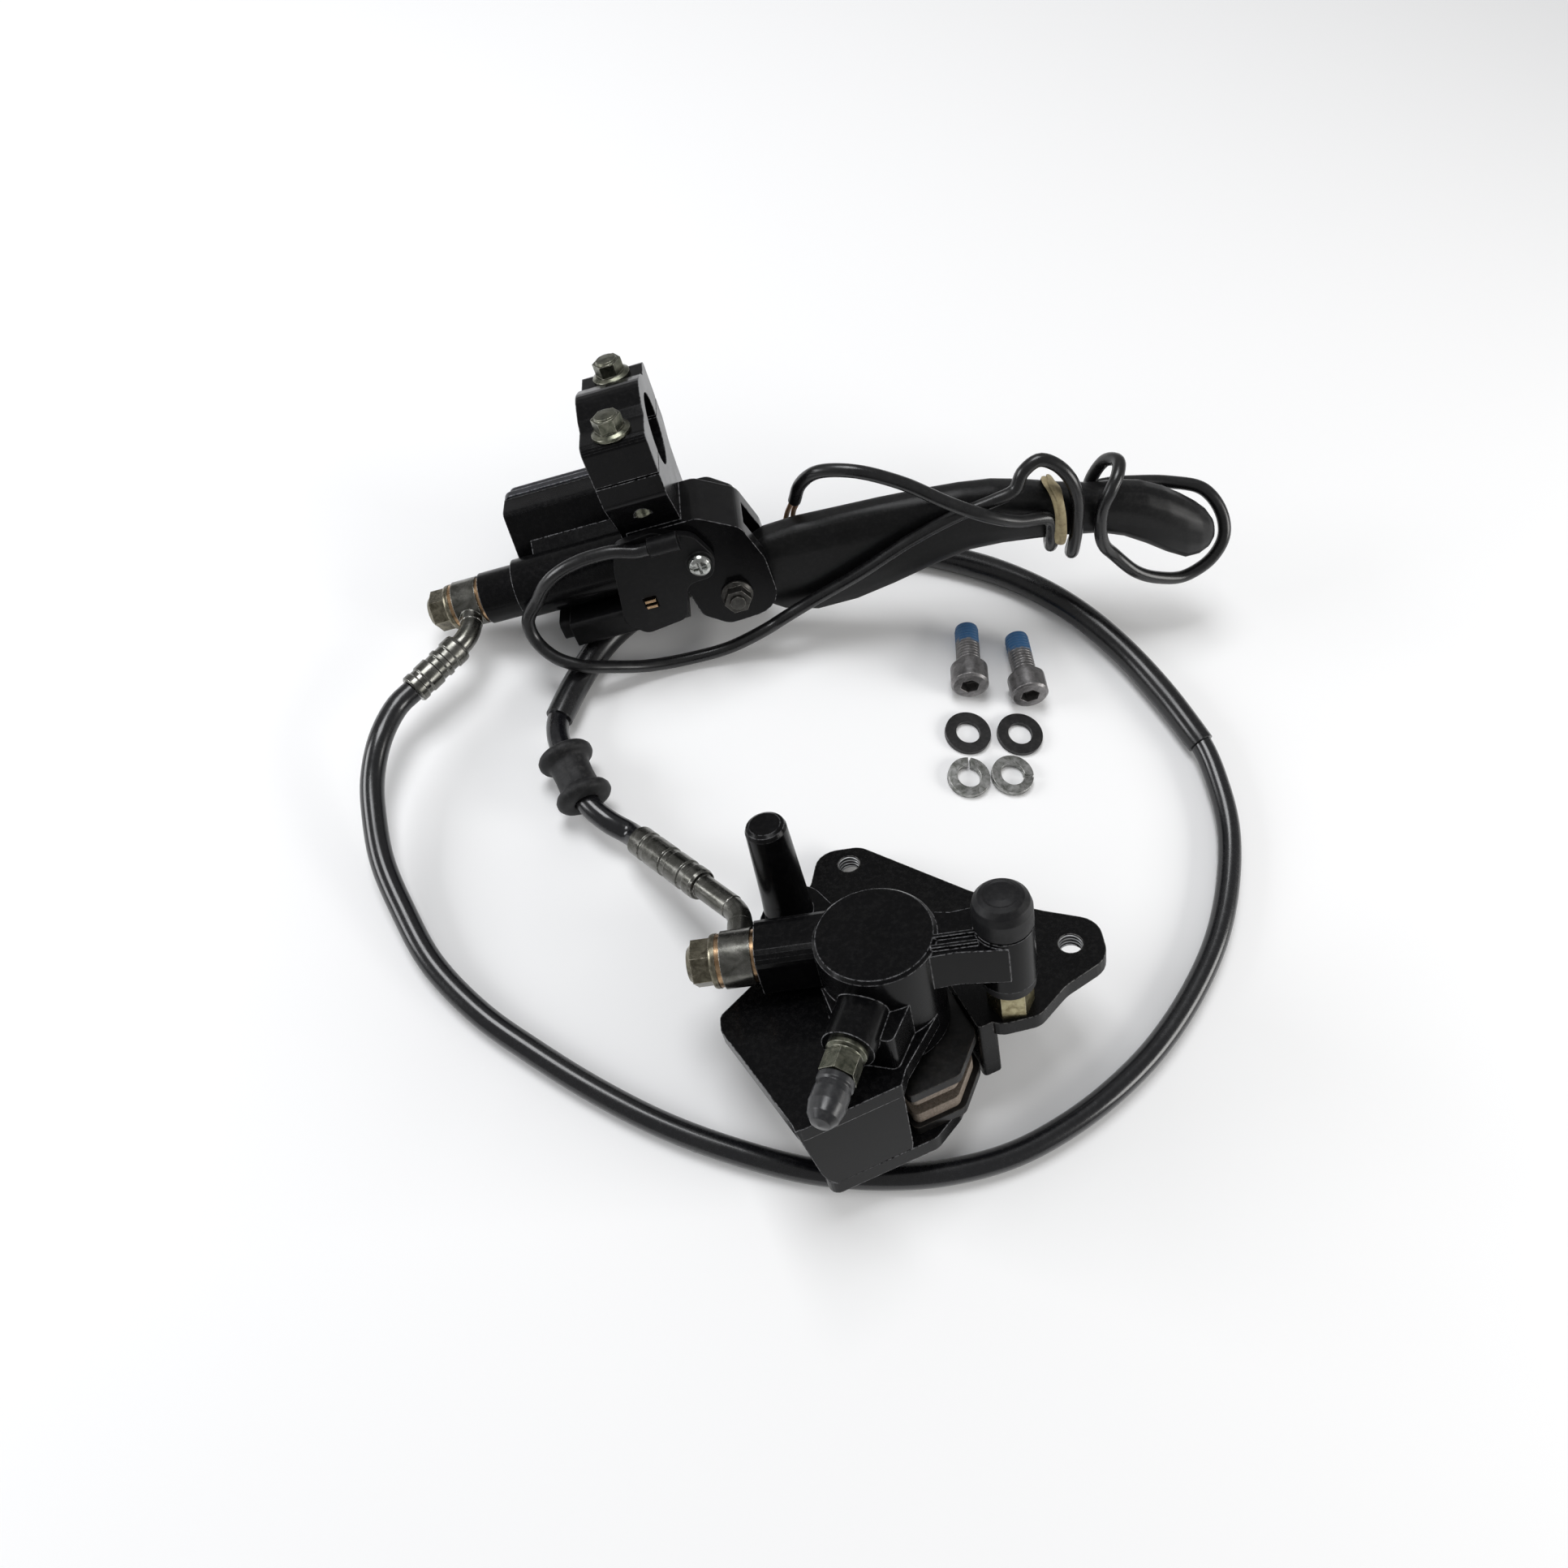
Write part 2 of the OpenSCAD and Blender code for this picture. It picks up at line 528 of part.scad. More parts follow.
// Hose fittings
// Banjo eye with a bent neck and a crimped ferrule. The eye's axis is x, the neck leaves along y
module hose_fitting(thick, neck0, bend_r, angle, straight, ferrule) {
    end_y = neck0 + bend_r * sin(angle);
    end_x = -bend_r * (1 - cos(angle));
    difference() {
        union() {
            rotate([0, 90, 0]) ring_z(-thick / 2, thick / 2, 8, banjo_r + 0.2);
            rod_y(6.4, neck0 + 0.3, 3.7, 0, 0);
        }
        rod_x(-9, 9, banjo_r + 0.2, 0, 0);
    }
    translate([-bend_r, neck0, 0]) rotate_extrude(angle = angle) translate([bend_r, 0]) circle(r = 3.5);
    translate([end_x, end_y, 0]) rotate([-90, 0, angle]) rotate_extrude() polygon([[0, -0.3], [3.7, -0.3],
        [3.7, straight], [4.6, straight + 0.4], [4.9, straight + 1.4], [4.9, straight + 4.5], [4.4,
            straight + 5],
        [4.4, straight + 7], [4.9, straight + 7.5], [4.9, straight + 0.42 * ferrule],
        [4.4, straight + 0.42 * ferrule + 0.5], [4.4, straight + 0.42 * ferrule + 2.5],
        [4.9, straight + 0.42 * ferrule + 3], [4.9, straight + 0.76 * ferrule], [4.5,
            straight + 0.76 * ferrule + 0.5],
        [4.5, straight + 0.76 * ferrule + 2], [4.9, straight + 0.76 * ferrule + 2.5],
        [4.9, straight + ferrule - 0.5], [4.5, straight + ferrule], [0, straight + ferrule]]);
}

// Bolt along x with its head at -x: head face at x = 0, shank towards +x
module banjo_bolt(shank) {
    rotate([0, 90, 0]) {
        rotate_extrude() polygon([[0, -1.6], [7.4, -1.6], [7.6, -1], [7.6, 0], [0, 0]]);
        rotate([0, 0, 30]) hex_z(-7, -1.2, 12);
        rotate_extrude() polygon([[0, -8.4], [4.6, -8.4], [5.9, -7], [5.9, -6.5], [0, -6.5]]);
        translate([0, 0, -e]) cylinder(h = shank, r = banjo_r);
    }
}

upper_eye_x = barrel_x0 - copper_t - eye_t / 2;
upper_tilt = 8;

module upper_hose_fitting() {
    color("#9a9a94") at_master() translate([upper_eye_x, by, bz]) rotate([180 + upper_tilt, 0, 0])
        hose_fitting(eye_t, 10, 12, 47, 0, 21);
}
module upper_banjo_bolt() {
    color("#6f6f68") at_master() translate([barrel_x0 - 2 * copper_t - eye_t, by, bz]) banjo_bolt(22);
}
module upper_copper_washers() {
    color("#b8743f") at_master() translate([barrel_x0, by, bz]) rotate([0, 90, 0]) {
        ring_z(-copper_t, 0, 7.4, banjo_r + 0.1);
        ring_z(-2 * copper_t - eye_t, -copper_t - eye_t, 7.4, banjo_r + 0.1);
    }
}

lower_eye_x = block_x - copper_t - lower_eye_t / 2;
module lower_hose_fitting() {
    color("#a8a49a") at_caliper() translate([lower_eye_x, port_y, port_z])
        hose_fitting(lower_eye_t, 12, 11, 42, 13, 32);
}
module lower_banjo_bolt() {
    color("#8c8468") at_caliper() translate([block_x - 2 * copper_t - lower_eye_t, port_y, port_z])
        banjo_bolt(24);
}
module lower_copper_washers() {
    color("#b8743f") at_caliper() translate([block_x, port_y, port_z]) rotate([0, 90, 0]) {
        ring_z(-copper_t, 0, 7.4, banjo_r + 0.1);
        ring_z(-2 * copper_t - lower_eye_t, -copper_t - lower_eye_t, 7.4, banjo_r + 0.1);
    }
}

// Hose
hose_r = hose_d / 2;
sleeve_r = sleeve_d / 2;
// Ends of the two ferrules, where the hose begins
function neck_end(neck0, bend_r, angle, run) =
    [-bend_r * (1 - cos(angle)) - run * sin(angle), neck0 + bend_r * sin(angle) + run * cos(angle), 0];
function upper_pt(run) = let (p = neck_end(10, 12, 47, run))
    master_pt([upper_eye_x + p.x, by - p.y * cos(upper_tilt), bz - p.y * sin(upper_tilt)]);
function lower_pt(run) = let (p = neck_end(12, 11, 42, run))
    caliper_pt([lower_eye_x + p.x, port_y + p.y, port_z]);
hose_a = [upper_pt(21 + seat_gap), upper_pt(28), [-127.5, 160, 15], [-126.5, 147, 12], [-122, 134, 9.6],
    [-116, 122, 7.5],
    [-106, 109, 5.6], [-93, 95, 4.3], [-75, 83, 3.7], [-57, 75, 3.7], [-37, 67.5, 3.7], [-16, 61.5, 3.7],
        [5, 58, 3.7],
    [27, 56.5, 3.7], [48, 58.5, 3.7], [66, 63, 3.7], [84, 71, 3.7], [100, 82.5, 3.7], [114, 96, 3.7],
        [126, 111, 3.7],
    [137, 130, 3.7], [145, 150, 3.7], [149, 170, 3.7], [149.5, 190, 3.9], [146, 206, 4.4]];
hose_b = [[140, 221, 4.8], [127, 238, 4.8], [111, 255, 4.8], [92, 269, 4.8], [70, 278, 4.8], [46, 281.5,
    4.8],
    [22, 281, 4.8], [-2, 276, 4.8], [-25, 265, 4.8], [-45, 250, 4.8], [-60, 234, 4.8], [-70, 217, 4.8],
        [-75, 200, 4.9],
    [-77.4, 184, 5.6]];
hose_c = [[-75.5, 176, 7.8], [-70.8, 167.9, 9.1], [-60.5, 153.9, 9.2], [-52, 148.5, 9.2],
    lower_pt(50), lower_pt(45 + seat_gap)];

module brake_hose() { color("#16171c") at_table() tube([each hose_a, each hose_b, each hose_c], hose_r,
    10); }
module hose_sleeve() {
    color("#101114") at_table() difference() {
        tube(hose_b, sleeve_r, 12);
        tube([hose_a[len(hose_a) - 1], each hose_b, hose_c[0]], hose_r + 0.4, 10);
    }
}

module hose_grommet() {
    color("#151515") at_table() along(hose_c[1] + unit(hose_c[1] - hose_c[2]) * 2.5, hose_c[2])
        rotate_extrude() polygon([[hose_r + 0.15, 0], [7.5, 0], [9, 1], [9, 4], [8.4, 4.8], [6.6, 5.4],
            [6.4, 7],
            [6.4, 13.5], [6.6, 15], [8.4, 15.6], [9, 16.4], [9, 19.4], [7.5, 20.4], [hose_r + 0.15, 20.4]]);
}

// Caliper
wing_outline = rounded([[-30, 8], [-37, 8], [-46.2, -1.5], [-45.8, -6.5], [-25.3, -40], [1.6, -30.2],
    [3.2, -25.5], [13, -10], [15, 6], [0, 14]], [0, 3, 3, 3, 2, 1, 1.5, 2, 4, 0]);
finger_outline = rounded([[-34, -28.7], [-2.4, -28.9], [7, -24], [14.4, -17], [15, -4], [8, 9], [-16, 9],
    [-26, -2], [-28, -19],
    [-34, -20]], [3, 5, 6, 5, 5, 5, 6, 5, 1, 1]);
bridge_outline = rounded([[-9 - bridge_w, wing_z1], [-8.6, wing_z1], [-9.2, finger_z0],
    [-9 - bridge_w + 4.6, finger_z0]], [0, 0, 8, 14]);
post_web_outline = rounded([[-35, 29], [-31, 41], [-19, 41], [-2, 15], [-13, 4], [-30, 14]], [6, 7, 7, 0,
    0, 6]);

module caliper_body() {
    color("#121318") at_caliper() difference() {
        union() {
            rotate_extrude() polygon([[0, house_z0], [house_r, house_z0], [house_r, -0.9],
                [house_r - 0.9, 0], [0, 0]]);
            slab_x(rounded(box_outline(-0.7, 15.2, -21, -3), 4.5), block_x, -6);
            slab_z(post_web_outline, -32.4, -22);
            translate([short_pin_at.x, short_pin_at.y, 0]) rotate_extrude() polygon([[0, -30], [7.2,
                -30], [7.2, -19], [6.8, -13], [5.9, 12.4], [5.4, 13.6], [4.4, 14.2], [0, 14.2]]);
            slab_z(rounded([[4, -10], [20, -9], [33, -10.4], [33, 5.8], [20, 4.6], [4, 8]], 0), -14, -1.2);
            for (y = [-4.2, -7.6])
                translate([14, y, -1.4]) cube([12, 1.1, 1.4]);
            rod_z(-19.5, 0, boss_top_r, long_pin_at.x, long_pin_at.y);
            slab_z(wing_outline, wing_z0, wing_z1);
            rotate([0, 0, pad_turn]) {
                slab_y(bridge_outline, -28.7, -20.2);
                slab_z(finger_outline, finger_z0, finger_z1);
            }
            along([0, 0, port_z], [bleed_at.x, bleed_at.y, port_z]) cylinder(h = norm(bleed_at), r = 7);
            slab_z(rounded([[-16, -6], [-11.5, -21.5], [1.2, -25.5], [8, -12]], [0, 2, 2, 0]),
                wing_z1 - 1, port_z);
        }
        rod_z(house_z0 - 5, -5, cal_bore_r, 0, 0);
        rod_z(-28, -25, seal_groove_r, 0, 0);
        rod_z(-33.6, -31.4, wiper_groove_r, 0, 0);
        rod_x(block_x - 1, -18, banjo_r + bolt_gap, port_y, port_z);
        rod_x(-19, -9, 2, port_y, port_z);
        rod_z(-40, 1, long_pin_d / 2 + run_gap, long_pin_at.x, long_pin_at.y);
        rod_z(-40, 9, short_pin_d / 2 + run_gap, short_pin_at.x, short_pin_at.y);
        rod_z(-40, -26, 6.6, short_pin_at.x, short_pin_at.y);
        along([bleed_at.x * 0.3, bleed_at.y * 0.3, port_z], [bleed_at.x, bleed_at.y, port_z])
            cylinder(h = 40, r = 1);
        along([bleed_at.x * 0.6, bleed_at.y * 0.6, port_z], [bleed_at.x, bleed_at.y, port_z])
            cylinder(h = 40, r = 4.05);
    }
}

bracket_outline = rounded([[-30, 42], [-21, 50], [-18, 64.8], [-4.4, 64.8], [27.5, 39.5], [46, 28.5],
    [61.5, 22], [61.5, 8.2], [48.4, 0.6], [39.8, -8], [27.8, -9.6], [20.4, -1], [17.9, 6.3],
    [11.4, 22.5], [-32.6, 6.5], [-37.4, 8], [-36, 28]],
    [4, 8, 7.2, 7.2, 30, 30, 7.5, 7.5, 12, 6, 6, 2.5, 0, 0, 0, 2, 8]);
upper_bolt_at = [-8.4, 58];
lower_bolt_at = [52.3, 14.8];

module caliper_bracket() {
    color("#141519") at_caliper() difference() {
        union() {
            slab_z(bracket_outline, plate_z0, plate_z1);
            rotate([0, 0, pad_turn]) {
                slab_z(rounded(box_outline(pad_x1 + seat_gap, pad_x1 + 6, -17, 19), 1.2), -56, plate_z1);
                slab_z(rounded(box_outline(pad_x0 - 5.5, pad_x0 - seat_gap, -13, 19.5), 1.2), -53.4,
                    plate_z1);
            }
        }
        rod_z(-70, 0, bracket_hole_d / 2, upper_bolt_at.x, upper_bolt_at.y);
        rod_z(-70, 0, bracket_hole_d / 2, lower_bolt_at.x, lower_bolt_at.y);
        rod_z(-70, 0, 3.05, short_pin_at.x, short_pin_at.y);
        rod_z(-70, 0, 3.55, long_pin_at.x, long_pin_at.y);
    }
}

module long_slide_pin() {
    color("#b3a15a") at_caliper() translate([long_pin_at.x, long_pin_at.y, 0]) {
        rod_z(plate_z0 + 0.3, plate_z1 + 1, 3.5, 0, 0);
        hex_z(plate_z1, plate_z1 + 9.2, 11);
        rotate_extrude() polygon([[0, plate_z1 + 9], [long_pin_d / 2, plate_z1 + 9], [long_pin_d / 2, 4.2],
            [long_pin_d / 2 - 0.8, 5], [0, 5]]);
    }
}
module short_slide_pin() {
    color("#b3a15a") at_caliper() translate([short_pin_at.x, short_pin_at.y, 0]) {
        rod_z(plate_z0 + 0.3, plate_z1 + 1, 3, 0, 0);
        hex_z(plate_z1, plate_z1 + 4, 10);
        rotate_extrude() polygon([[0, plate_z1 + 3], [short_pin_d / 2, plate_z1 + 3], [short_pin_d / 2, 4.2],
            [short_pin_d / 2 - 0.8, 5], [0, 5]]);
    }
}
module slide_pin_boots() {
    color("#26262a") at_caliper() {
        translate([long_pin_at.x, long_pin_at.y, 0]) ring_z(-22.9, -19.5, 7.2, long_pin_d / 2 + 0.1);
        translate([short_pin_at.x, short_pin_at.y, 0]) ring_z(-28.6, -26, 6.4, short_pin_d / 2 + 0.1);
    }
}
module slide_pin_cap() {
    color("#222226") at_caliper() translate([long_pin_at.x, long_pin_at.y, 0]) rotate_extrude()
        polygon([[5, 0], [7.3, 0], [7.8, 0.9], [7.8, 6.4], [7.2, 8.7], [5.9, 10.1], [4.6, 10.8], [4.2,
            10.6], [2.4, 11], [0, 11.2], [0, 9.4], [4, 8.8], [5, 8]]);
}

module caliper_piston() {
    hollow_r = cal_piston_r - 3.65;
    foot_z = in_lining_z1 + pad_plate_t + run_gap;
    color("#c8cbce") at_caliper() rotate_extrude() polygon([[0, -14], [hollow_r - 0.4, -14], [hollow_r, -15],
        [hollow_r, foot_z], [cal_piston_r, foot_z], [cal_piston_r, -10.6], [cal_piston_r - 1, -9.6],
        [0, -9.6]]);
}
module piston_seal() { color("#1e1e1e") at_caliper() ring_z(-27.9, -25.1, seal_groove_r - 0.05,
    cal_piston_r + 0.02); }
module piston_wiper() { color("#1e1e1e") at_caliper() ring_z(-33.5, -31.5, wiper_groove_r - 0.05,
    cal_piston_r + 0.02); }

pad_outline = rounded([[pad_x0, -12], [-24, -19.6], [-7.6, -19.6], [-7, -25.8], [8, -25.8], [pad_x1,
    -16], [pad_x1, 9],
    [11, 14], [-21, 14], [pad_x0, 9]], [2, 3, 0.6, 2, 3, 4, 3, 3, 3, 3]);
lining_outline = rounded([[pad_x0 + 3, -10], [-22, -18.6], [-6.4, -18.6], [-6, -24.4], [7, -24.4],
    [pad_x1 - 1.6, -15],
    [pad_x1 - 1.6, 6], [10, 12], [-20, 12], [pad_x0 + 3, 6]], [2, 3, 0.6, 2, 3, 4, 3, 3, 3, 3]);

module inner_pad_plate() { color("#3b3226") at_pads() slab_z(pad_outline, in_lining_z1,
    in_lining_z1 + pad_plate_t); }
module inner_pad_lining() { color("#8d6f4c") at_pads() slab_z(lining_outline, in_lining_z1 - lining_t,
    in_lining_z1); }
module outer_pad_plate() { color("#3b3226") at_pads() slab_z(pad_outline, out_lining_z0 - pad_plate_t,
    out_lining_z0); }
module outer_pad_lining() { color("#8d6f4c") at_pads() slab_z(lining_outline, out_lining_z0,
    out_lining_z0 + lining_t); }

module at_bleeder() {
    along([bleed_at.x, bleed_at.y, port_z], [2 * bleed_at.x, 2 * bleed_at.y, port_z]) children();
}
module bleeder_screw() {
    color("#9a9470") at_caliper() at_bleeder() {
        translate([0, 0, -8]) cylinder(h = 9, r = 4);
        rotate_extrude() polygon([[0, 0], [5.4, 0], [5.4, 1.2], [4.4, 1.8], [4.4, 3], [0, 3]]);
        hex_z(2.6, 8.4, 9);
        rotate_extrude() polygon([[0, 8], [2.6, 8], [2.6, 13], [3.1, 14.6], [1.8, 16.6], [0, 16.6]]);
    }
}
module bleeder_cap() {
    color("#6d6f73") at_caliper() at_bleeder() rotate_extrude() polygon([[3.2, 9], [4.9, 9], [4.9, 10.6],
        [4.5, 11.2], [4.8, 13],
        [4.8, 16.5], [4, 19.6], [2.6, 21.4], [0, 22], [0, 17.4], [3.2, 17]]);
}

// Loose fixings, as they lie
module mounting_bolt(head, tip) {
    along(head, tip) difference() {
        union() {
            rotate_extrude() polygon([[0, 0], [5.8, 0], [6.5, 0.7], [6.5, 8], [0, 8]]);
            translate([0, 0, 7]) cylinder(h = 19.4, r = 4);
        }
        translate([0, 0, -1]) cylinder(h = 5, r = 3.46, $fn = 6);
    }
}
module mounting_bolts() {
    color("#5c5a56") at_table() {
        mounting_bolt([57.4, 225, 7.5], [54.2, 253.4, 4.1]);
        mounting_bolt([78.6, 225.6, 7.5], [71.7, 255.2, 4.1]);
    }
}
module flat_washers() {
    color("#2c2c2c") at_table() for (p = [[59.4, 210.2], [77.5, 213.6]])
        translate([p.x, p.y, 0]) ring_z(0, 1.6, 8, 4.2);
}
module spring_washers() {
    color("#8e8f90") at_table() for (p = [[61.2, 192.7, 90], [75.9, 196.6, 0]])
        translate([p.x, p.y, 0]) rotate([0, 0, p.z]) difference() {
            ring_z(0, 2.2, 7.2, 4.1);
            translate([2, -0.5, -1]) rotate([0, 0, 8]) cube([8, 0.9, 5]);
        }
}

master_cylinder_body();
reservoir_lid();
reservoir_diaphragm();
lid_screws();
clamp_cap();
clamp_bolts();
brake_lever();
lever_pivot_bolt();
lever_pivot_nut();
master_piston();
piston_cups();
return_spring();
piston_circlip();
piston_dust_boot();
brake_switch();
switch_terminals();
switch_plunger();
switch_screw();
switch_lead();
lever_lead();
lead_wrap();
lead_tail();
lead_cores();
tie_band();
upper_banjo_bolt();
upper_copper_washers();
upper_hose_fitting();
brake_hose();
hose_sleeve();
hose_grommet();
lower_hose_fitting();
lower_banjo_bolt();
lower_copper_washers();
caliper_body();
caliper_bracket();
long_slide_pin();
short_slide_pin();
slide_pin_boots();
slide_pin_cap();
caliper_piston();
piston_seal();
piston_wiper();
inner_pad_plate();
inner_pad_lining();
outer_pad_plate();
outer_pad_lining();
bleeder_screw();
bleeder_cap();
mounting_bolts();
flat_washers();
spring_washers();
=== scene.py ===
# %% [markdown]
# # A scooter's front brake set, laid out on a table
# The set is a handlebar master cylinder with its lever and brake-light switch, a hydraulic hose,
# a two-pad caliper on its bracket, and the two bolts and four washers that mount it. The packed
# CAD model gives every rigid solid. This script dresses it: it builds the soft pieces, the
# threads and the small marks of casting, and gives each piece its finish.

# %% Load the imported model
import math

import bmesh
import bpy
from mathutils import Euler, Matrix, Vector


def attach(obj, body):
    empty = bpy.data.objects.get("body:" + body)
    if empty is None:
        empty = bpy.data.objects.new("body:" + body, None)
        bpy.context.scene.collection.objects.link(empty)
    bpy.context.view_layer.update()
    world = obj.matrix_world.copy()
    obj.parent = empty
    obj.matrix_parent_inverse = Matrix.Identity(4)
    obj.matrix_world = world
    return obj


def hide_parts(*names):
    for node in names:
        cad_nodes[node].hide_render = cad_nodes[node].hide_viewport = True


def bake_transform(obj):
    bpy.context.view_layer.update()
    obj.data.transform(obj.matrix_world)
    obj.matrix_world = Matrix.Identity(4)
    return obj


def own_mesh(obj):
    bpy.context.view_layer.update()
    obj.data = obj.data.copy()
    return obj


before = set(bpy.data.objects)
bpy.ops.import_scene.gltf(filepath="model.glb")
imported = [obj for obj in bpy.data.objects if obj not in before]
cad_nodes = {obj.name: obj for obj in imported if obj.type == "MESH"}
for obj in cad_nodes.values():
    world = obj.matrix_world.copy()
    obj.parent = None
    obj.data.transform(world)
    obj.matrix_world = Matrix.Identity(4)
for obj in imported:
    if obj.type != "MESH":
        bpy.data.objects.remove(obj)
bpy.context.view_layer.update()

MM = 0.001

# %% [markdown]
# ## Where things lie
# Everything is in one frame, with the table at height 0. The master cylinder and the caliper
# each lie tilted, so each has a frame of its own, with the same shifts and turns as the solids.
# Working in those frames keeps the numbers as plain as on a drawing of the part.

# %% The two tilted frames
TABLE_SHIFT = Vector((-1.13, -171.16, 0))


def tilted_frame(at, turn):
    turned = Euler([math.radians(a) for a in turn]).to_matrix().to_4x4()
    return Matrix.Scale(MM, 4) @ Matrix.Translation(TABLE_SHIFT + Vector(at)) @ turned


MASTER = tilted_frame((-68.4, 251.6, 68.3), (-17.5, -16.5, 19))
CALIPER = tilted_frame((29.66, 107.66, 60.86), (-21.5, -15, 14))


def on_master(*points):
    return [MASTER @ Vector(p) for p in points]


def on_caliper(*points):
    return [CALIPER @ Vector(p) for p in points]


def on_table(*points):
    return [(Vector(p) + TABLE_SHIFT) * MM for p in points]


print("bar clamp centre:", [round(a, 4) for a in on_master((0, 0, 0))[0]])

# %% [markdown]
# ## The camera
# The photograph looks down at the table from about a third of a metre up, with a wide lens and a
# slight roll. The place, the tilt and the lens came from fitting the drawing of the solids to the
# picture, so they are numbers here and nothing is searched for.

# %% Camera at the photograph's angle
CAMERA_TILT, CAMERA_ROLL = math.radians(62.1), math.radians(10.5)
CAMERA_HEIGHT, CAMERA_LENS = 0.336, 26.14
camera_data = bpy.data.cameras.new("photo_camera")
camera = bpy.data.objects.new("photo_camera", camera_data)
bpy.context.scene.collection.objects.link(camera)
look = Vector((0, math.cos(CAMERA_TILT), -math.sin(CAMERA_TILT)))
level_up = Vector((0, math.sin(CAMERA_TILT), math.cos(CAMERA_TILT)))
side = Vector((1, 0, 0)) * math.cos(CAMERA_ROLL) + level_up * math.sin(CAMERA_ROLL)
up = level_up * math.cos(CAMERA_ROLL) - Vector((1, 0, 0)) * math.sin(CAMERA_ROLL)
axes = Matrix((side, up, -look)).transposed().to_4x4()
camera_place = Vector((TABLE_SHIFT.x * MM, TABLE_SHIFT.y * MM, CAMERA_HEIGHT))
camera.matrix_world = Matrix.Translation(camera_place) @ axes
camera_data.sensor_width = 36
camera_data.lens = CAMERA_LENS
camera_data.clip_start = 0.01
bpy.context.scene.camera = camera
print("camera at", [round(a, 4) for a in camera.location], "lens", camera_data.lens)

# %% [markdown]
# ## Tools for cords
# A hose or a lead is a tube swept along a smooth route. A curve object could do that, but a mesh
# tube lets the radius change along the way and keeps its rings from twisting, because each ring's
# direction is carried on from the one before.

# %% Smooth routes and swept tubes
def smooth_route(points, step):
    """Points about a step apart on one smooth curve through the given ones."""
    p = [points[0] * 2 - points[1], *points, points[-1] * 2 - points[-2]]
    fine = []
    for a, b, c, d in zip(p, p[1:], p[2:], p[3:]):
        t0 = 0.0
        t1 = t0 + math.sqrt((b - a).length)
        t2 = t1 + math.sqrt((c - b).length)
        t3 = t2 + math.sqrt((d - c).length)
        for k in range(24):
            t = t1 + (t2 - t1) * k / 24
            ab = a * ((t1 - t) / (t1 - t0)) + b * ((t - t0) / (t1 - t0))
            bc = b * ((t2 - t) / (t2 - t1)) + c * ((t - t1) / (t2 - t1))
            cd = c * ((t3 - t) / (t3 - t2)) + d * ((t - t2) / (t3 - t2))
            abc = ab * ((t2 - t) / (t2 - t0)) + bc * ((t - t0) / (t2 - t0))
            bcd = bc * ((t3 - t) / (t3 - t1)) + cd * ((t - t1) / (t3 - t1))
            fine.append(abc * ((t2 - t) / (t2 - t1)) + bcd * ((t - t1) / (t2 - t1)))
    fine.append(points[-1].copy())
    along = [0.0]
    for a, b in zip(fine, fine[1:]):
        along.append(along[-1] + (b - a).length)
    count = max(2, round(along[-1] / step))
    route, k = [], 0
    for i in range(count + 1):
        want = along[-1] * i / count
        while k < len(fine) - 2 and along[k + 1] < want:
            k += 1
        share = (want - along[k]) / max(along[k + 1] - along[k], 1e-12)
        route.append(fine[k].lerp(fine[k + 1], min(1.0, share)))
    return route


def route_length(route):
    return sum((b - a).length for a, b in zip(route, route[1:]))


def carried_sides(route):
    """For each point of a route, its direction and a side vector that doesn't twist."""
    ways = [(route[min(i + 1, len(route) - 1)] - route[max(i - 1, 0)]).normalized()
            for i in range(len(route))]
    across = ways[0].cross(Vector((0.05, 0.1, 1))).normalized()
    out = []
    for way in ways:
        across = (across - way * across.dot(way)).normalized()
        out.append((way, across))
    return out


def mesh_object(name, bm, sharp_angle=40):
    """A named object from a bmesh, shaded smooth but for edges sharper than the angle."""
    bmesh.ops.recalc_face_normals(bm, faces=bm.faces)
    for face in bm.faces:
        face.smooth = True
    for edge in bm.edges:
        edge.smooth = not edge.is_manifold or edge.calc_face_angle(0) < math.radians(sharp_angle)
    mesh = bpy.data.meshes.new(name)
    bm.to_mesh(mesh)
    bm.free()
    piece = bpy.data.objects.new(name, mesh)
    bpy.context.scene.collection.objects.link(piece)
    return piece


def swept_tube(name, route, radius, sides=24, sharp_angle=40):
    """A closed tube round a route. The radius is a number, or a function of metres along it."""
    bm = bmesh.new()
    rings, gone = [], 0.0
    for i, (way, across) in enumerate(carried_sides(route)):
        gone += (route[i] - route[i - 1]).length if i else 0.0
        r = radius(gone) if callable(radius) else radius
        over = way.cross(across)
        rings.append([bm.verts.new(route[i] + r * (across * math.cos(2 * math.pi * k / sides)
                                                   + over * math.sin(2 * math.pi * k / sides)))
                      for k in range(sides)])
    for one, two in zip(rings, rings[1:]):
        for k in range(sides):
            m = (k + 1) % sides
            bm.faces.new((one[k], one[m], two[m], two[k]))
    bm.faces.new(rings[0])
    bm.faces.new(rings[-1][::-1])
    return mesh_object(name, bm, sharp_angle)


# %% [markdown]
# ## The brake hose
# The hose is a smooth rubber tube of 7.4 mm. It leaves the crimped ferrule at the master
# cylinder, lies on the table in one wide loop, and comes back under the cylinder to the ferrule at
# the caliper. A thicker protecting sleeve covers its far side, and a rubber grommet sits near its
# lower end.

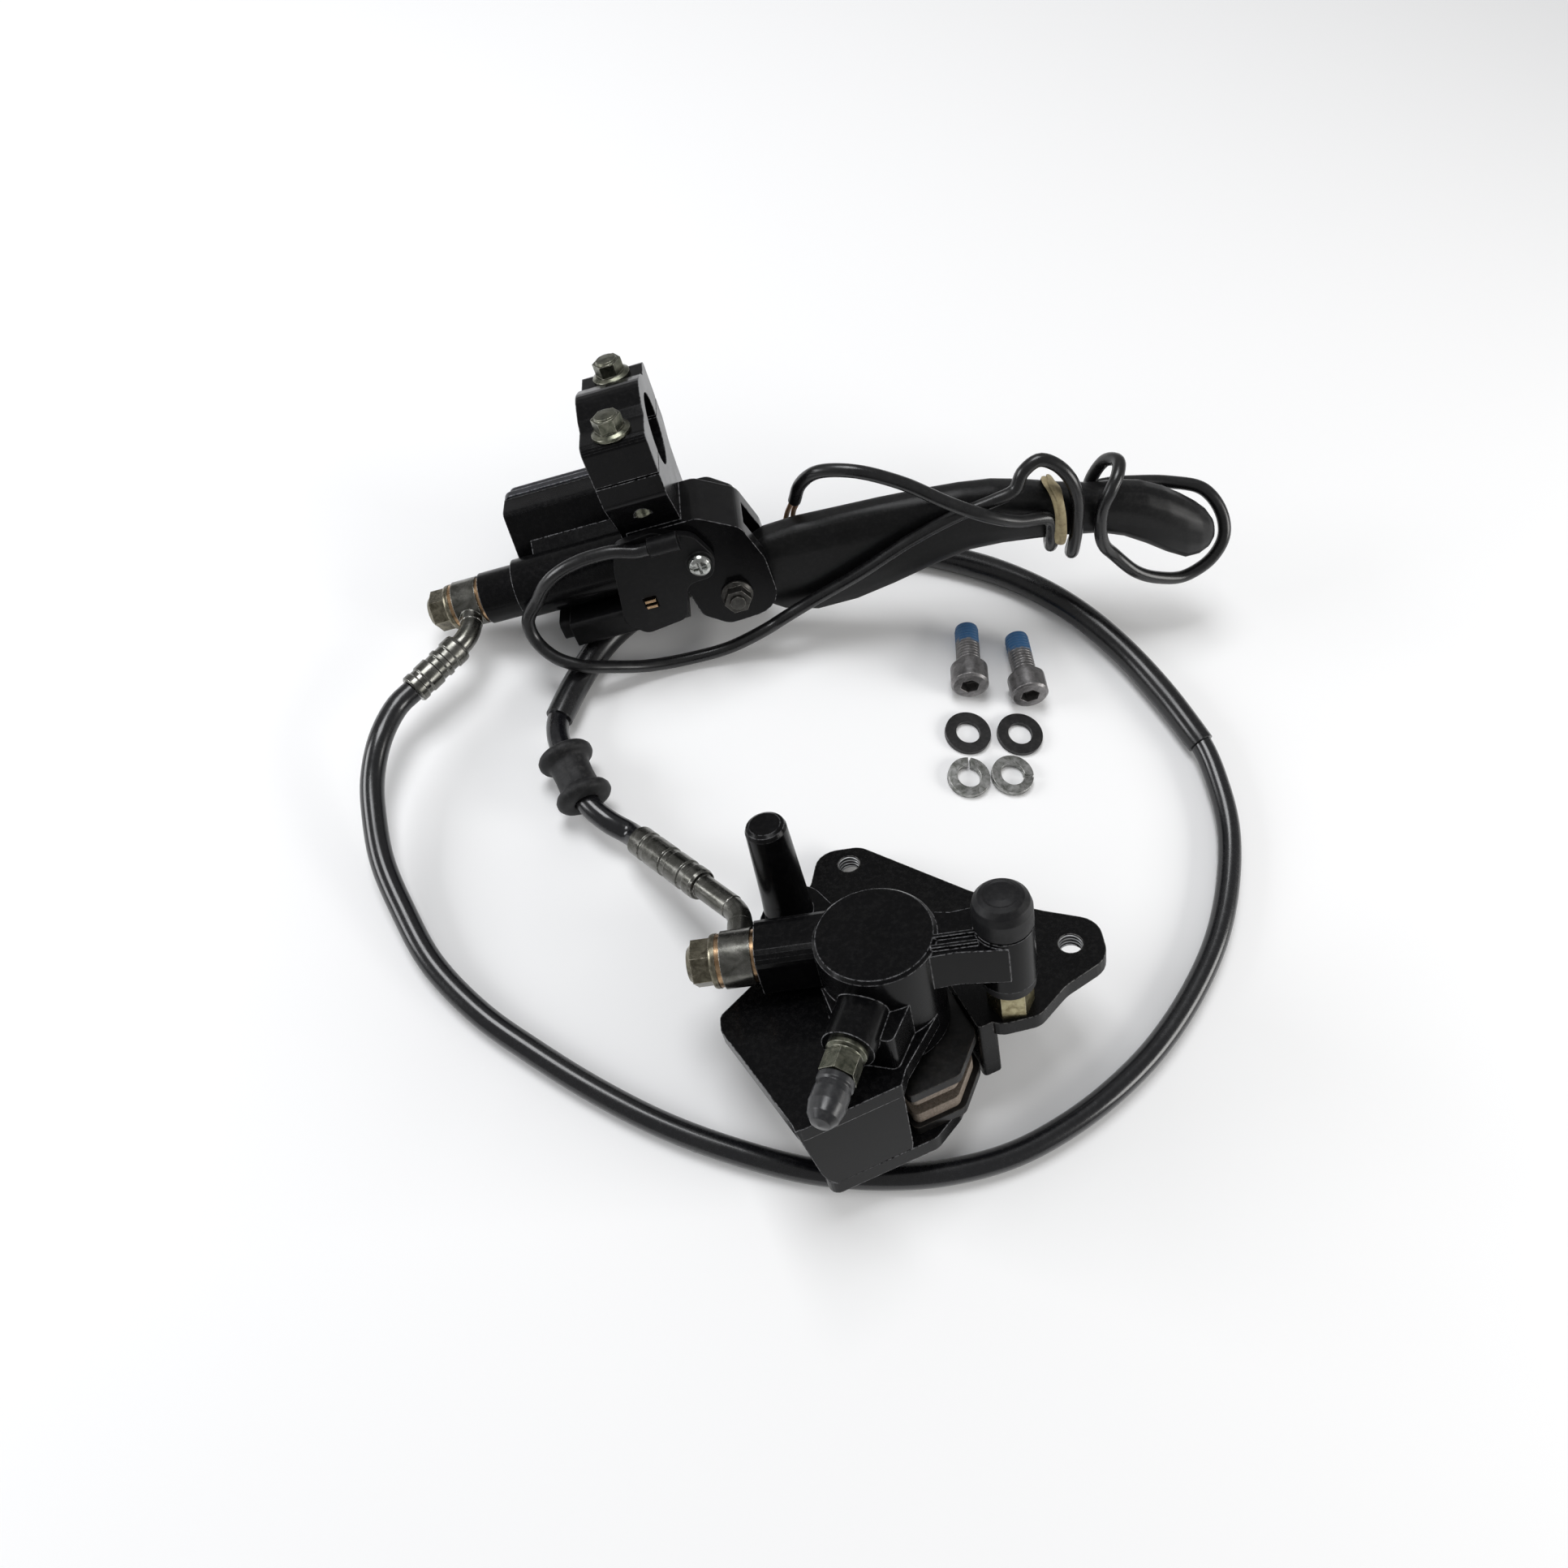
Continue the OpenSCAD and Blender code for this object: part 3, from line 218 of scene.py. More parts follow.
# %% The hose and its sleeve
HOSE_R, SLEEVE_R = 3.7 * MM, 4.8 * MM
hose_points = [
    *on_master((-87.244, -40.479, -43.135), (-92.144, -45.004, -43.771)),
    *on_table((-127.5, 160, 15), (-126.5, 147, 12), (-122, 134, 9.6), (-116, 122, 7.5),
              (-106, 109, 5.6), (-93, 95, 4.3), (-75, 83, 3.7), (-57, 75, 3.7), (-37, 67.5, 3.7),
              (-16, 61.5, 3.7), (5, 58, 3.7), (27, 56.5, 3.7), (48, 58.5, 3.7), (66, 63, 3.7),
              (84, 71, 3.7), (100, 82.5, 3.7), (114, 96, 3.7), (126, 111, 3.7), (137, 130, 3.7),
              (145, 150, 3.7), (149, 170, 3.7), (149.5, 190, 3.9), (146, 206, 4.4)),
    *on_table((140, 221, 4.8), (127, 238, 4.8), (111, 255, 4.8), (92, 269, 4.8), (70, 278, 4.8),
              (46, 281.5, 4.8), (22, 281, 4.8), (-2, 276, 4.8), (-25, 265, 4.8), (-45, 250, 4.8),
              (-60, 234, 4.8), (-70, 217, 4.8), (-75, 200, 4.9), (-77.4, 184, 5.6)),
    *on_table((-75.5, 176, 7.8), (-70.8, 167.9, 9.1), (-60.5, 153.9, 9.2), (-52, 148.5, 9.2)),
    *on_caliper((-74.432, 64.518, -12), (-71.287, 61.025, -12)),
]
hose_route = smooth_route(hose_points, 2.2 * MM)
hose = swept_tube("hose_rubber", hose_route, HOSE_R, sides=24)
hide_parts("brake_hose")

# %% The sleeve over the hose
sleeve_route = smooth_route(hose_points[25:39], 2.5 * MM)
sleeve_length = route_length(sleeve_route)


def sleeve_radius(gone):
    """A little slack between its snug ends, as a cut length of soft tube has."""
    near_end = min(gone, sleeve_length - gone)
    return SLEEVE_R - 0.25 * MM * math.exp(-near_end / (6 * MM)) \
        - 0.12 * MM * (0.5 + 0.5 * math.sin(gone * 190) * math.sin(gone * 47))


sleeve = swept_tube("hose_sleeve_rubber", sleeve_route, sleeve_radius, sides=28)
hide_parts("hose_sleeve")
print("sleeve length:", round(sleeve_length, 3), "m")

# %% [markdown]
# ## The switch lead
# The thin lead of the brake-light switch is still tied up as it was stored: it loops past the
# barrel, lies along the lever, takes its turns round the lever's blade, and comes back to two bare
# cores. One tube shows this best.

# %% The lead's route
LEAD_R = 2.2 * MM
lead_points = [
    *on_master((-1.8, -22.8, -26.4), (-6, -22.8, -26.2), (-12, -22.8, -24.2), (-18, -22.8, -23.8),
               (-24, -22.8, -24.2), (-31, -22.8, -26), (-37, -22.6, -29.4), (-42, -22.2, -34.6)),
    *on_table((-92, 207, 24), (-89, 204, 18), (-82, 201, 15), (-73, 201, 13), (-64, 205, 9.5),
              (-53, 211, 5), (-40, 218, 3.5), (-27, 224, 6), (-15, 230, 13)),
    *on_master((30.5, -16.5, -71.8), (43, -14, -69), (61, -13.8, -63), (79, -13.8, -55.6),
               (96, -14, -50.5), (108, -14.2, -48.5), (115, -14, -46.8), (118.4, -13, -41.7),
               (124, -12, -39.5), (128.9, -12.5, -42.2), (133, -13.7, -48), (134.8, -14.3, -56),
               (134, -14.2, -67), (132.8, -11, -79), (133.8, -5, -82.5), (138, 0.8, -79),
               (141, 3.6, -72), (144.5, 3.6, -62), (148.5, 1, -55), (151, -5, -52.5),
               (149, -11, -53.5), (145.9, -14, -56.5), (142.8, -14.6, -62), (141.8, -14.4, -71.7),
               (143, -13.5, -78), (146.5, -12, -84), (154, -12, -94), (162, -11, -100),
               (172, -9, -104), (182, -7, -101), (187, -5, -94), (187, -1, -86), (182, 3, -78),
               (172, 5.8, -74), (160, 5.8, -70), (148, 5, -67), (138, 4.6, -68), (131, 3, -73),
               (127.5, -2, -77), (126.2, -8, -76.5), (125.8, -13, -70), (125.2, -14.4, -61),
               (114, -17.6, -56), (105, -18.9, -50.5), (94, -17, -43.5), (80, -14, -33),
               (66, -12, -25.5), (55, -8, -25), (49, -4, -30), (45.5, 0, -38)),
]
lead_route = smooth_route(lead_points, 1.2 * MM)
lead = swept_tube("switch_lead_rubber", lead_route, LEAD_R, sides=16)
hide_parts("switch_lead", "lever_lead", "lead_wrap", "lead_tail")

# %% [markdown]
# ## The lead's bare cores
# Where the lead's jacket ends, two thin tan cores come out side by side and bend apart a little.

# %% Two cores, joined as one piece
core_meshes = []
for side_step in (-1.1, 1.1):
    core_points = on_master((45.6 + side_step * 0.8, -0.3, -37.4), (45.4 + side_step, 0.3, -38.6),
                            (43 + side_step, 3.4, -44), (41 + side_step * 1.3, 5, -50))
    core_meshes.append(swept_tube("core_%d" % (side_step > 0), smooth_route(core_points, 0.8 * MM),
                                  0.85 * MM, sides=12))
joined = bmesh.new()
for one in core_meshes:
    joined.from_mesh(one.data)
    bpy.data.objects.remove(one)
cores = mesh_object("lead_end_cores", joined)
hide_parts("lead_cores")
print("cores:", len(cores.data.polygons), "faces")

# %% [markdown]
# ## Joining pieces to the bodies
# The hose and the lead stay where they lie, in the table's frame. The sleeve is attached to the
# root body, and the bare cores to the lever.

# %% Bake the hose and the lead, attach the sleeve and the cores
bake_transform(hose)
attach(sleeve, "root")
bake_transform(lead)
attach(cores, "lever")

# %% [markdown]
# ## The rubber band
# A tan rubber band ties the lead to the lever. It is a thin strip wound round twice, bunched up
# wide in two places and pinched narrow between them. A strip swept round the lever's own
# section, with its width and its offset changing on the way, shows those folds.

# %% The lever blade's section
BLADE = [(23, -47, -65, 5.6, 5), (33, -42.8, -73.5, 6, 5), (44, -42, -77.8, 6, 4.5),
         (58, -42.6, -78, 6, 4), (72, -43.2, -75.5, 6.2, 3.6), (86, -44.2, -72.2, 6.4, 3.2),
         (99, -45.6, -70, 6.4, 3), (110, -47.6, -70.6, 6.4, 3), (121, -51.2, -72.4, 6.4, 2.8),
         (132, -55.6, -74.4, 6.4, 2.6), (143, -59.4, -77, 6.6, 2.5), (151, -60.6, -81, 7, 2.4),
         (159, -63.2, -87, 7.6, 2.3), (166, -67.5, -92.8, 8, 2.3), (172, -72.4, -96.8, 8, 2.3),
         (177, -77, -97, 7.2, 2.2), (180.5, -81, -95.5, 5.4, 2.2), (182.6, -85, -93, 3, 2.2)]


def round_the_blade(x, angle, off):
    """A point off the lever's surface at x: angle 0 faces the table, 90 the upper edge."""
    k = max(i for i in range(len(BLADE) - 1) if BLADE[i][0] <= x)
    share = (x - BLADE[k][0]) / (BLADE[k + 1][0] - BLADE[k][0])
    _, high, low, half, square = [a + (b - a) * share for a, b in zip(BLADE[k], BLADE[k + 1])]
    c, s = math.cos(math.radians(angle)), math.sin(math.radians(angle))
    y = -5 + (half + off) * math.copysign(abs(c) ** (2 / square), c)
    z = (high + low) / 2 + ((high - low) / 2 + off) * math.copysign(abs(s) ** (2 / square), s)
    return Vector((x, y, z))


print("blade front at x 128:", [round(a, 1) for a in round_the_blade(128, 180, 0)])

# %% The band's two turns
band_mesh = bmesh.new()
BAND_STEPS, BAND_EDGE = 220, 8
band_rings = []
for i in range(BAND_STEPS + 1):
    turn = i / BAND_STEPS * 2
    angle = 360 * turn + 250
    middle_x = 128.1 + 0.9 * math.sin(math.pi * turn) + 0.35 * math.sin(angle * 0.051)
    over_lead = 4.5 * math.exp(-((angle % 360 - 166) / 62) ** 2)
    off = 0.5 + over_lead + 0.35 * (1 + math.sin(math.pi * turn))
    round_blade = angle % 360
    bunched = math.exp(-((round_blade - 112) / 30) ** 2) \
        + math.exp(-((round_blade - 200) / 26) ** 2)
    half_wide = 0.95 + 1.15 * bunched + 0.12 * math.sin(angle * 0.11)
    roll = 0.9 * math.sin(angle * 0.023 + 1)
    ring = []
    for k in range(BAND_EDGE):
        a = 2 * math.pi * k / BAND_EDGE
        w, t = half_wide * math.cos(a), 0.42 * math.sin(a)
        x = middle_x + w * math.cos(roll) - t * math.sin(roll)
        lift = w * math.sin(roll) * 0.35 + t * math.cos(roll)
        ring.append(band_mesh.verts.new(MASTER @ round_the_blade(x, angle, off + lift)))
    band_rings.append(ring)
for one, two in zip(band_rings, band_rings[1:]):
    for k in range(BAND_EDGE):
        m = (k + 1) % BAND_EDGE
        band_mesh.faces.new((one[k], one[m], two[m], two[k]))
band_mesh.faces.new(band_rings[0])
band_mesh.faces.new(band_rings[-1][::-1])
band = mesh_object("tie_band_rubber", band_mesh, 80)
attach(band, "lever")
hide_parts("tie_band")
print("band:", len(band.data.polygons), "faces")

# %% [markdown]
# ## Turned soft pieces
# The grommet on the hose is a turned rubber bobbin. Its solid has crisp corners, so a piece with
# rounded flanges replaces it. It is built from a profile turned round an axis.

# %% A turned piece
def turned_piece(name, profile, foot, top, sides=48, sharp_angle=40):
    """A profile of (height, radius) in mm, turned round the line from foot towards top."""
    way = (top - foot).normalized()
    across = way.cross(Vector((0.05, 0.1, 1))).normalized()
    over = way.cross(across)
    bm = bmesh.new()
    rings = []
    for height, radius in profile:
        middle = foot + way * height * MM
        rings.append([bm.verts.new(middle + radius * MM * (
            across * math.cos(2 * math.pi * k / sides) + over * math.sin(2 * math.pi * k / sides)))
            for k in range(sides)])
    for one, two in zip(rings, [*rings[1:], rings[0]]):
        for k in range(sides):
            m = (k + 1) % sides
            bm.faces.new((one[k], one[m], two[m], two[k]))
    return mesh_object(name, bm, sharp_angle)


grommet_near, grommet_far = on_table((-70.8, 167.9, 9.1), (-60.5, 153.9, 9.2))
grommet_foot = grommet_near - (grommet_far - grommet_near).normalized() * 2.5 * MM
bobbin = [(0.4, 3.95), (0.1, 5.0), (0.3, 7.2), (1.0, 8.4), (1.9, 9.0), (3.2, 9.0), (4.1, 8.5),
          (4.6, 7.6), (5.0, 6.8), (5.8, 6.45), (7.2, 6.35), (10.2, 6.2), (13.2, 6.35), (14.6, 6.45),
          (15.4, 6.8), (15.8, 7.6), (16.3, 8.5), (17.2, 9.0), (18.5, 9.0), (19.4, 8.4),
          (20.1, 7.2), (20.3, 5.0), (20.0, 3.95)]
grommet = turned_piece("hose_grommet_rubber", bobbin, grommet_foot, grommet_far, 56, 60)
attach(grommet, "root")
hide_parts("hose_grommet")
print("grommet:", len(grommet.data.polygons), "faces")

# %% [markdown]
# ## Threads
# The solids leave the fine threads out, as their shapes need only the smooth cores. A thread is
# one ridge wound along the core, so a thin tube swept along a helix shows it: outside each
# mounting bolt's shank, and inside the bracket's two tapped holes.

# %% Ridges wound on a core
PITCH, STEPS_A_TURN = 1.25, 28
BOLT_THREAD_FROM, BOLT_THREAD_TO = 10.5, 25.6
BOLT_CORE_R, BOLT_RIDGE_R = 3.93, 0.3
PLATE_LOW, PLATE_HIGH = -33 - 4.6, -33 - 0.4
HOLE_CORE_R, HOLE_RIDGE_R = 3.42, 0.26


def thread_ridge(name, foot, top, core_r, ridge_r):
    """A ridge round the line from foot to top, in metres; the radii are in mm."""
    way = (top - foot).normalized()
    across = way.cross(Vector((0.05, 0.1, 1))).normalized()
    over = way.cross(across)
    turns = (top - foot).length / (PITCH * MM)
    winding = []
    for i in range(round(turns * STEPS_A_TURN) + 1):
        a = 2 * math.pi * i / STEPS_A_TURN
        winding.append(foot + way * (PITCH * MM * i / STEPS_A_TURN)
                       + (across * math.cos(a) + over * math.sin(a)) * core_r * MM)
    return swept_tube(name, winding, ridge_r * MM, sides=6, sharp_angle=80)


def thread_on_bolt(name, head, tip):
    head, tip = on_table(head, tip)
    way = (tip - head).normalized()
    return thread_ridge(name, head + way * BOLT_THREAD_FROM * MM, head + way * BOLT_THREAD_TO * MM,
                        BOLT_CORE_R, BOLT_RIDGE_R)


def thread_in_hole(name, x, y):
    foot, top = on_caliper((x, y, PLATE_LOW), (x, y, PLATE_HIGH))
    return thread_ridge(name, foot, top, HOLE_CORE_R, HOLE_RIDGE_R)


bolt_threads = [thread_on_bolt("bolt_thread_left", (57.4, 225, 7.5), (54.2, 253.4, 4.1)),
                thread_on_bolt("bolt_thread_right", (78.6, 225.6, 7.5), (71.7, 255.2, 4.1))]
hole_threads = [thread_in_hole("hole_thread_upper", -8.4, 58),
                thread_in_hole("hole_thread_lower", 52.3, 14.8)]
for ridge in bolt_threads + hole_threads:
    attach(ridge, "root")
print("threads:", [r.name for r in bolt_threads + hole_threads])

# %% [markdown]
# ## The return spring
# Inside the barrel a coil spring pushes the piston back. It shortens when the lever is squeezed,
# so it can't simply ride with the piston. The same swept tube makes its wire, and the coil is
# attached to the root body.

# %% The coil spring
SPRING_Y, SPRING_Z = -7.5, -38.5
SPRING_FROM, SPRING_TO, COIL_R, WIRE_R, COIL_TURNS = -43.2, -28.8, 4.6, 0.5, 5
COIL_STEPS = COIL_TURNS * 32
coil = []
for i in range(COIL_STEPS + 1):
    a = 2 * math.pi * i / 32
    along_barrel = SPRING_FROM + (SPRING_TO - SPRING_FROM) * i / COIL_STEPS
    coil += on_master((along_barrel, SPRING_Y + COIL_R * math.cos(a),
                       SPRING_Z + COIL_R * math.sin(a)))
spring = swept_tube("return_spring_coil", coil, WIRE_R * MM, sides=10, sharp_angle=80)
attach(spring, "root")
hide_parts("return_spring")
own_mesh(spring)

# %% [markdown]
# # Finishes
# Four effects come back in many of the finishes, so each is a node group: the rounding of an
# edge with a painted highlight along it, the fine skin of a cast or moulded surface, the blotches
# of plated metal, and the settled dust that flattens the gloss. The shader itself stays in each
# material.

# %% A helper for node groups
def effect_group(name, inputs, outputs):
    group = bpy.data.node_groups.new(name, "ShaderNodeTree")
    for label, kind, value in inputs:
        group.interface.new_socket(label, in_out="INPUT", socket_type=kind).default_value = value
    for label, kind in outputs:
        group.interface.new_socket(label, in_out="OUTPUT", socket_type=kind)
    source, sink = group.nodes.new("NodeGroupInput"), group.nodes.new("NodeGroupOutput")
    return group, source.outputs, sink.inputs


def add(tree, kind, **settings):
    """A node with its settings. A setting named after an input sets that socket or links to it."""
    node = tree.nodes.new(kind)
    for key, value in settings.items():
        if hasattr(node, key):
            setattr(node, key, value)
    for key, value in settings.items():
        if hasattr(node, key):
            continue
        socket = node.inputs[int(key[1:]) if key[1:].isdigit() else key.replace("_", " ")]
        if isinstance(value, bpy.types.NodeSocket):
            tree.links.new(value, socket)
        else:
            socket.default_value = value
    return node.outputs


NUMBER, COLOUR, NORMAL = "NodeSocketFloat", "NodeSocketColor", "NodeSocketVector"
print("helpers ready")

# %% [markdown]
# The edge effect compares the true surface direction with one rounded by the Bevel node. Where
# they differ, there is an edge. The rounded direction also makes sharp solids catch the light as
# castings and pressed parts do. The edge mask, broken up by noise, is where a finish paints its
# edge colour: a painted highlight along the edge.

# %% Edge rounding and painted edge highlight
edge_effect, given, put = effect_group(
    "rounded edge and painted highlight", [("Radius", NUMBER, 0.0005), ("Break Up", NUMBER, 900.0)],
    [("Edge", NUMBER), ("Normal", NORMAL)])
rounded_way = add(edge_effect, "ShaderNodeBevel", samples=6, Radius=given["Radius"])
true_way = add(edge_effect, "ShaderNodeNewGeometry")
likeness = add(edge_effect, "ShaderNodeVectorMath", operation="DOT_PRODUCT",
               i0=rounded_way["Normal"], i1=true_way["Normal"])
bent = add(edge_effect, "ShaderNodeMapRange", Value=likeness["Value"],
           i1=0.992, i2=0.9, i3=0.0, i4=1.0)
# Noise breaks the painted edge highlight into pieces.
place = add(edge_effect, "ShaderNodeTexCoord")
highlight_breaks = add(edge_effect, "ShaderNodeTexNoise", Vector=place["Object"], Scale=given["Break Up"],
            Detail=3.0, Roughness=0.6)
broken_highlight = add(edge_effect, "ShaderNodeMapRange", Value=highlight_breaks["Fac"], i1=0.36, i2=0.6)
edge_out = add(edge_effect, "ShaderNodeMath", operation="MULTIPLY", i0=bent["Result"],
               i1=broken_highlight["Result"])
edge_effect.links.new(edge_out["Value"], put["Edge"])
edge_effect.links.new(rounded_way["Normal"], put["Normal"])
print("group:", edge_effect.name)

# %% Cast or moulded skin
skin_effect, given, put = effect_group(
    "cast or moulded skin", [("Grain Scale", NUMBER, 1800.0), ("Wave Scale", NUMBER, 160.0),
                             ("Wave Share", NUMBER, 0.5)],
    [("Height", NUMBER), ("Patches", NUMBER)])
place = add(skin_effect, "ShaderNodeTexCoord")
grain = add(skin_effect, "ShaderNodeTexNoise", Vector=place["Object"], Scale=given["Grain Scale"],
            Detail=3.0, Roughness=0.55)
wave = add(skin_effect, "ShaderNodeTexNoise", Vector=place["Object"], Scale=given["Wave Scale"],
           Detail=2.0, Roughness=0.5)
both = add(skin_effect, "ShaderNodeMix", i0=given["Wave Share"], i2=grain["Fac"], i3=wave["Fac"])
patchy = add(skin_effect, "ShaderNodeMapRange", Value=wave["Fac"], i1=0.35, i2=0.7)
skin_effect.links.new(both["Result"], put["Height"])
skin_effect.links.new(patchy["Result"], put["Patches"])
print("group:", skin_effect.name)

# %% Blotches of plated metal
plate_effect, given, put = effect_group(
    "plated blotches", [("Scale", NUMBER, 420.0), ("Bright", COLOUR, (0.6, 0.58, 0.5, 1)),
                        ("Dull", COLOUR, (0.3, 0.26, 0.16, 1))],
    [("Colour", COLOUR)])
place = add(plate_effect, "ShaderNodeTexCoord")
cloud = add(plate_effect, "ShaderNodeTexNoise", Vector=place["Object"], Scale=given["Scale"],
            Detail=5.0, Roughness=0.65, Distortion=0.6)
blotch = add(plate_effect, "ShaderNodeMapRange", Value=cloud["Fac"], i1=0.36, i2=0.64)
tint = add(plate_effect, "ShaderNodeMix", data_type="RGBA", i0=blotch["Result"],
           i6=given["Bright"], i7=given["Dull"])
plate_effect.links.new(tint[2], put["Colour"])
print("group:", plate_effect.name)

# %% Settled dust
dust_effect, given, put = effect_group(
    "settled dust", [("Scale", NUMBER, 700.0), ("Amount", NUMBER, 0.3)], [("Mask", NUMBER)])
place = add(dust_effect, "ShaderNodeTexCoord")
facing = add(dust_effect, "ShaderNodeNewGeometry")
upward = add(dust_effect, "ShaderNodeSeparateXYZ", Vector=facing["Normal"])
lies = add(dust_effect, "ShaderNodeMapRange", Value=upward["Z"], i1=-0.2, i2=0.9)
specks = add(dust_effect, "ShaderNodeTexNoise", Vector=place["Object"], Scale=given["Scale"],
             Detail=6.0, Roughness=0.7)
fine_specks = add(dust_effect, "ShaderNodeMapRange", Value=specks["Fac"], i1=0.46, i2=0.72)
lying = add(dust_effect, "ShaderNodeMath", operation="MULTIPLY", i0=lies["Result"],
            i1=fine_specks["Result"])
scaled = add(dust_effect, "ShaderNodeMath", operation="MULTIPLY", i0=lying["Value"],
             i1=given["Amount"])
dust_effect.links.new(scaled["Value"], put["Mask"])
print("group:", dust_effect.name)

# %% [markdown]
# ## One shader, many finishes
# Every finish here is a base colour, a roughness that varies, a fine relief and rounded edges,
# and most have a painted highlight along those edges. So one function lays out those links, and
# each finish gives its own numbers. What is the same all over the surface is set straight on the
# shader's sockets.

# %% The finish builder
MIX = {"data_type": "RGBA"}


def finish(name, colour, roughness, metallic=0.0, blotch=None, blotch_scale=420.0, edge=None,
           edge_radius=0.45, grain=1800.0, wave=160.0, wave_share=0.5, relief=0.02, dust=0.25,
           dust_colour=(0.16, 0.155, 0.15, 1), rough_spread=0.12, coat=0.0, coat_rough=0.1,
           specular=0.5, sheen=0.0):
    """A material from this object's own effects. Colours are linear; lengths are in mm."""
    material = bpy.data.materials.new(name)
    material.use_nodes = True
    tree = material.node_tree
    shader = tree.nodes["Principled BSDF"]

    skin = add(tree, "ShaderNodeGroup", node_tree=skin_effect, Grain_Scale=grain, Wave_Scale=wave,
               Wave_Share=wave_share)
    rim = add(tree, "ShaderNodeGroup", node_tree=edge_effect, Radius=edge_radius * MM)
    laid = add(tree, "ShaderNodeGroup", node_tree=dust_effect, Amount=dust)
    surface = (*colour, 1)
    if blotch:
        plated = add(tree, "ShaderNodeGroup", node_tree=plate_effect, Scale=blotch_scale,
                     Bright=(*colour, 1), Dull=(*blotch, 1))
        surface = plated["Colour"]
    else:
        patch = add(tree, "ShaderNodeMix", **MIX, i0=skin["Patches"], i6=(*colour, 1),
                    i7=(*[c * 0.72 + 0.0015 for c in colour], 1))
        surface = patch[2]
    # The edge colour is a painted highlight, mixed in along the edges.
    if edge:
        surface = add(tree, "ShaderNodeMix", **MIX, i0=rim["Edge"], i6=surface, i7=(*edge, 1))[2]
    dusty = add(tree, "ShaderNodeMix", **MIX, i0=laid["Mask"], i6=surface, i7=dust_colour)
    tree.links.new(dusty[2], shader.inputs["Base Color"])

    worn = add(tree, "ShaderNodeMapRange", Value=skin["Patches"], i3=roughness,
               i4=roughness + rough_spread)
    dull = add(tree, "ShaderNodeMath", operation="ADD", i0=worn["Result"], i1=laid["Mask"])
    tree.links.new(dull["Value"], shader.inputs["Roughness"])

    bump = add(tree, "ShaderNodeBump", Strength=0.5, Distance=relief * MM, Height=skin["Height"],
               Normal=rim["Normal"])
    tree.links.new(bump["Normal"], shader.inputs["Normal"])
    shader.inputs["Metallic"].default_value = metallic
    shader.inputs["Coat Weight"].default_value = coat
    shader.inputs["Coat Roughness"].default_value = coat_rough
    shader.inputs["Specular IOR Level"].default_value = specular
    shader.inputs["Sheen Weight"].default_value = sheen
    return material


print("finish builder ready")

# %% [markdown]
# The castings, the lever and the bracket carry thick black gloss paint, with a painted highlight
# along its edges. The reservoir's lid is the same black paint, duller, with a blue-grey painted
# reflection in its colour. The hose and the small rubber parts are black too, but softer and
# greyer where light grazes them.

# %% Paints and rubbers
# Each edge colour in these finishes is a painted highlight along the edges.
castings_paint = finish("black_gloss_casting", (0.0022, 0.0022, 0.0026), 0.2,
                        edge=(0.3, 0.3, 0.31), edge_radius=0.5, grain=1100, wave=110,
                        wave_share=0.7, relief=0.035, dust=0.035, rough_spread=0.05, specular=0.12, coat=0.04, coat_rough=0.05)
# The lid's lighter blue-grey colour is a painted reflection on black paint.
lid_paint = finish("black_lid_painted_reflection", (0.0085, 0.009, 0.0135), 0.36, edge=(0.4, 0.41, 0.45),
                   edge_radius=0.8, grain=1900, wave=170, relief=0.03, dust=0.06,
                   rough_spread=0.05, specular=0.35)
lever_paint = finish("black_satin_lever", (0.0038, 0.0038, 0.0042), 0.32, edge=(0.03, 0.03, 0.03),
                     edge_radius=2.6, grain=1500, wave=140, relief=0.035, dust=0.06,
                     rough_spread=0.06, specular=0.25)
bracket_paint = finish("black_gloss_plate", (0.0025, 0.0025, 0.0028), 0.24,
                       edge=(0.28, 0.275, 0.265), edge_radius=0.5, grain=1300, wave=130,
                       relief=0.03, dust=0.05, rough_spread=0.05, specular=0.16)
hose_rubber = finish("hose_rubber", (0.0045, 0.0046, 0.006), 0.2, grain=2600, wave=60, relief=0.015,
                     dust=0.08, dust_colour=(0.05, 0.052, 0.06, 1), rough_spread=0.08,
                     specular=0.5, coat=0.3, coat_rough=0.12)
sleeve_rubber = finish("sleeve_rubber", (0.0042, 0.0042, 0.005), 0.22, grain=1500, wave=75,
                       relief=0.05, dust=0.06, rough_spread=0.08, specular=0.45, coat=0.2,
                       coat_rough=0.15)
soft_rubber = finish("soft_black_rubber", (0.007, 0.007, 0.0078), 0.5, grain=2200, wave=300,
                     relief=0.05, dust=0.16, sheen=0.03, specular=0.3)
grey_rubber = finish("bleeder_cap_rubber", (0.013, 0.0135, 0.0155), 0.28, grain=2400, wave=260,
                     relief=0.04, dust=0.12, specular=0.5, coat=0.12, coat_rough=0.2)
post_rubber = finish("slide_pin_cap_rubber", (0.006, 0.006, 0.007), 0.4, grain=2400, wave=260,
                     relief=0.04, dust=0.06, specular=0.25)
lead_jacket = finish("lead_jacket", (0.005, 0.005, 0.0056), 0.24, grain=2800, wave=200,
                     relief=0.02, dust=0.05, specular=0.45, coat=0.15, coat_rough=0.15)
black_plastic = finish("black_plastic", (0.0045, 0.0045, 0.005), 0.36, grain=2400, wave=400,
                       relief=0.03, dust=0.05, edge=(0.03, 0.03, 0.03), specular=0.2)
band_rubber = finish("tan_band_rubber", (0.36, 0.3, 0.17), 0.55, blotch=(0.24, 0.19, 0.1),
                     blotch_scale=500, grain=2600, wave=700, relief=0.08, dust=0.1,
                     dust_colour=(0.4, 0.37, 0.28, 1), edge_radius=0.2)
print("paints and rubbers:", len(bpy.data.materials))
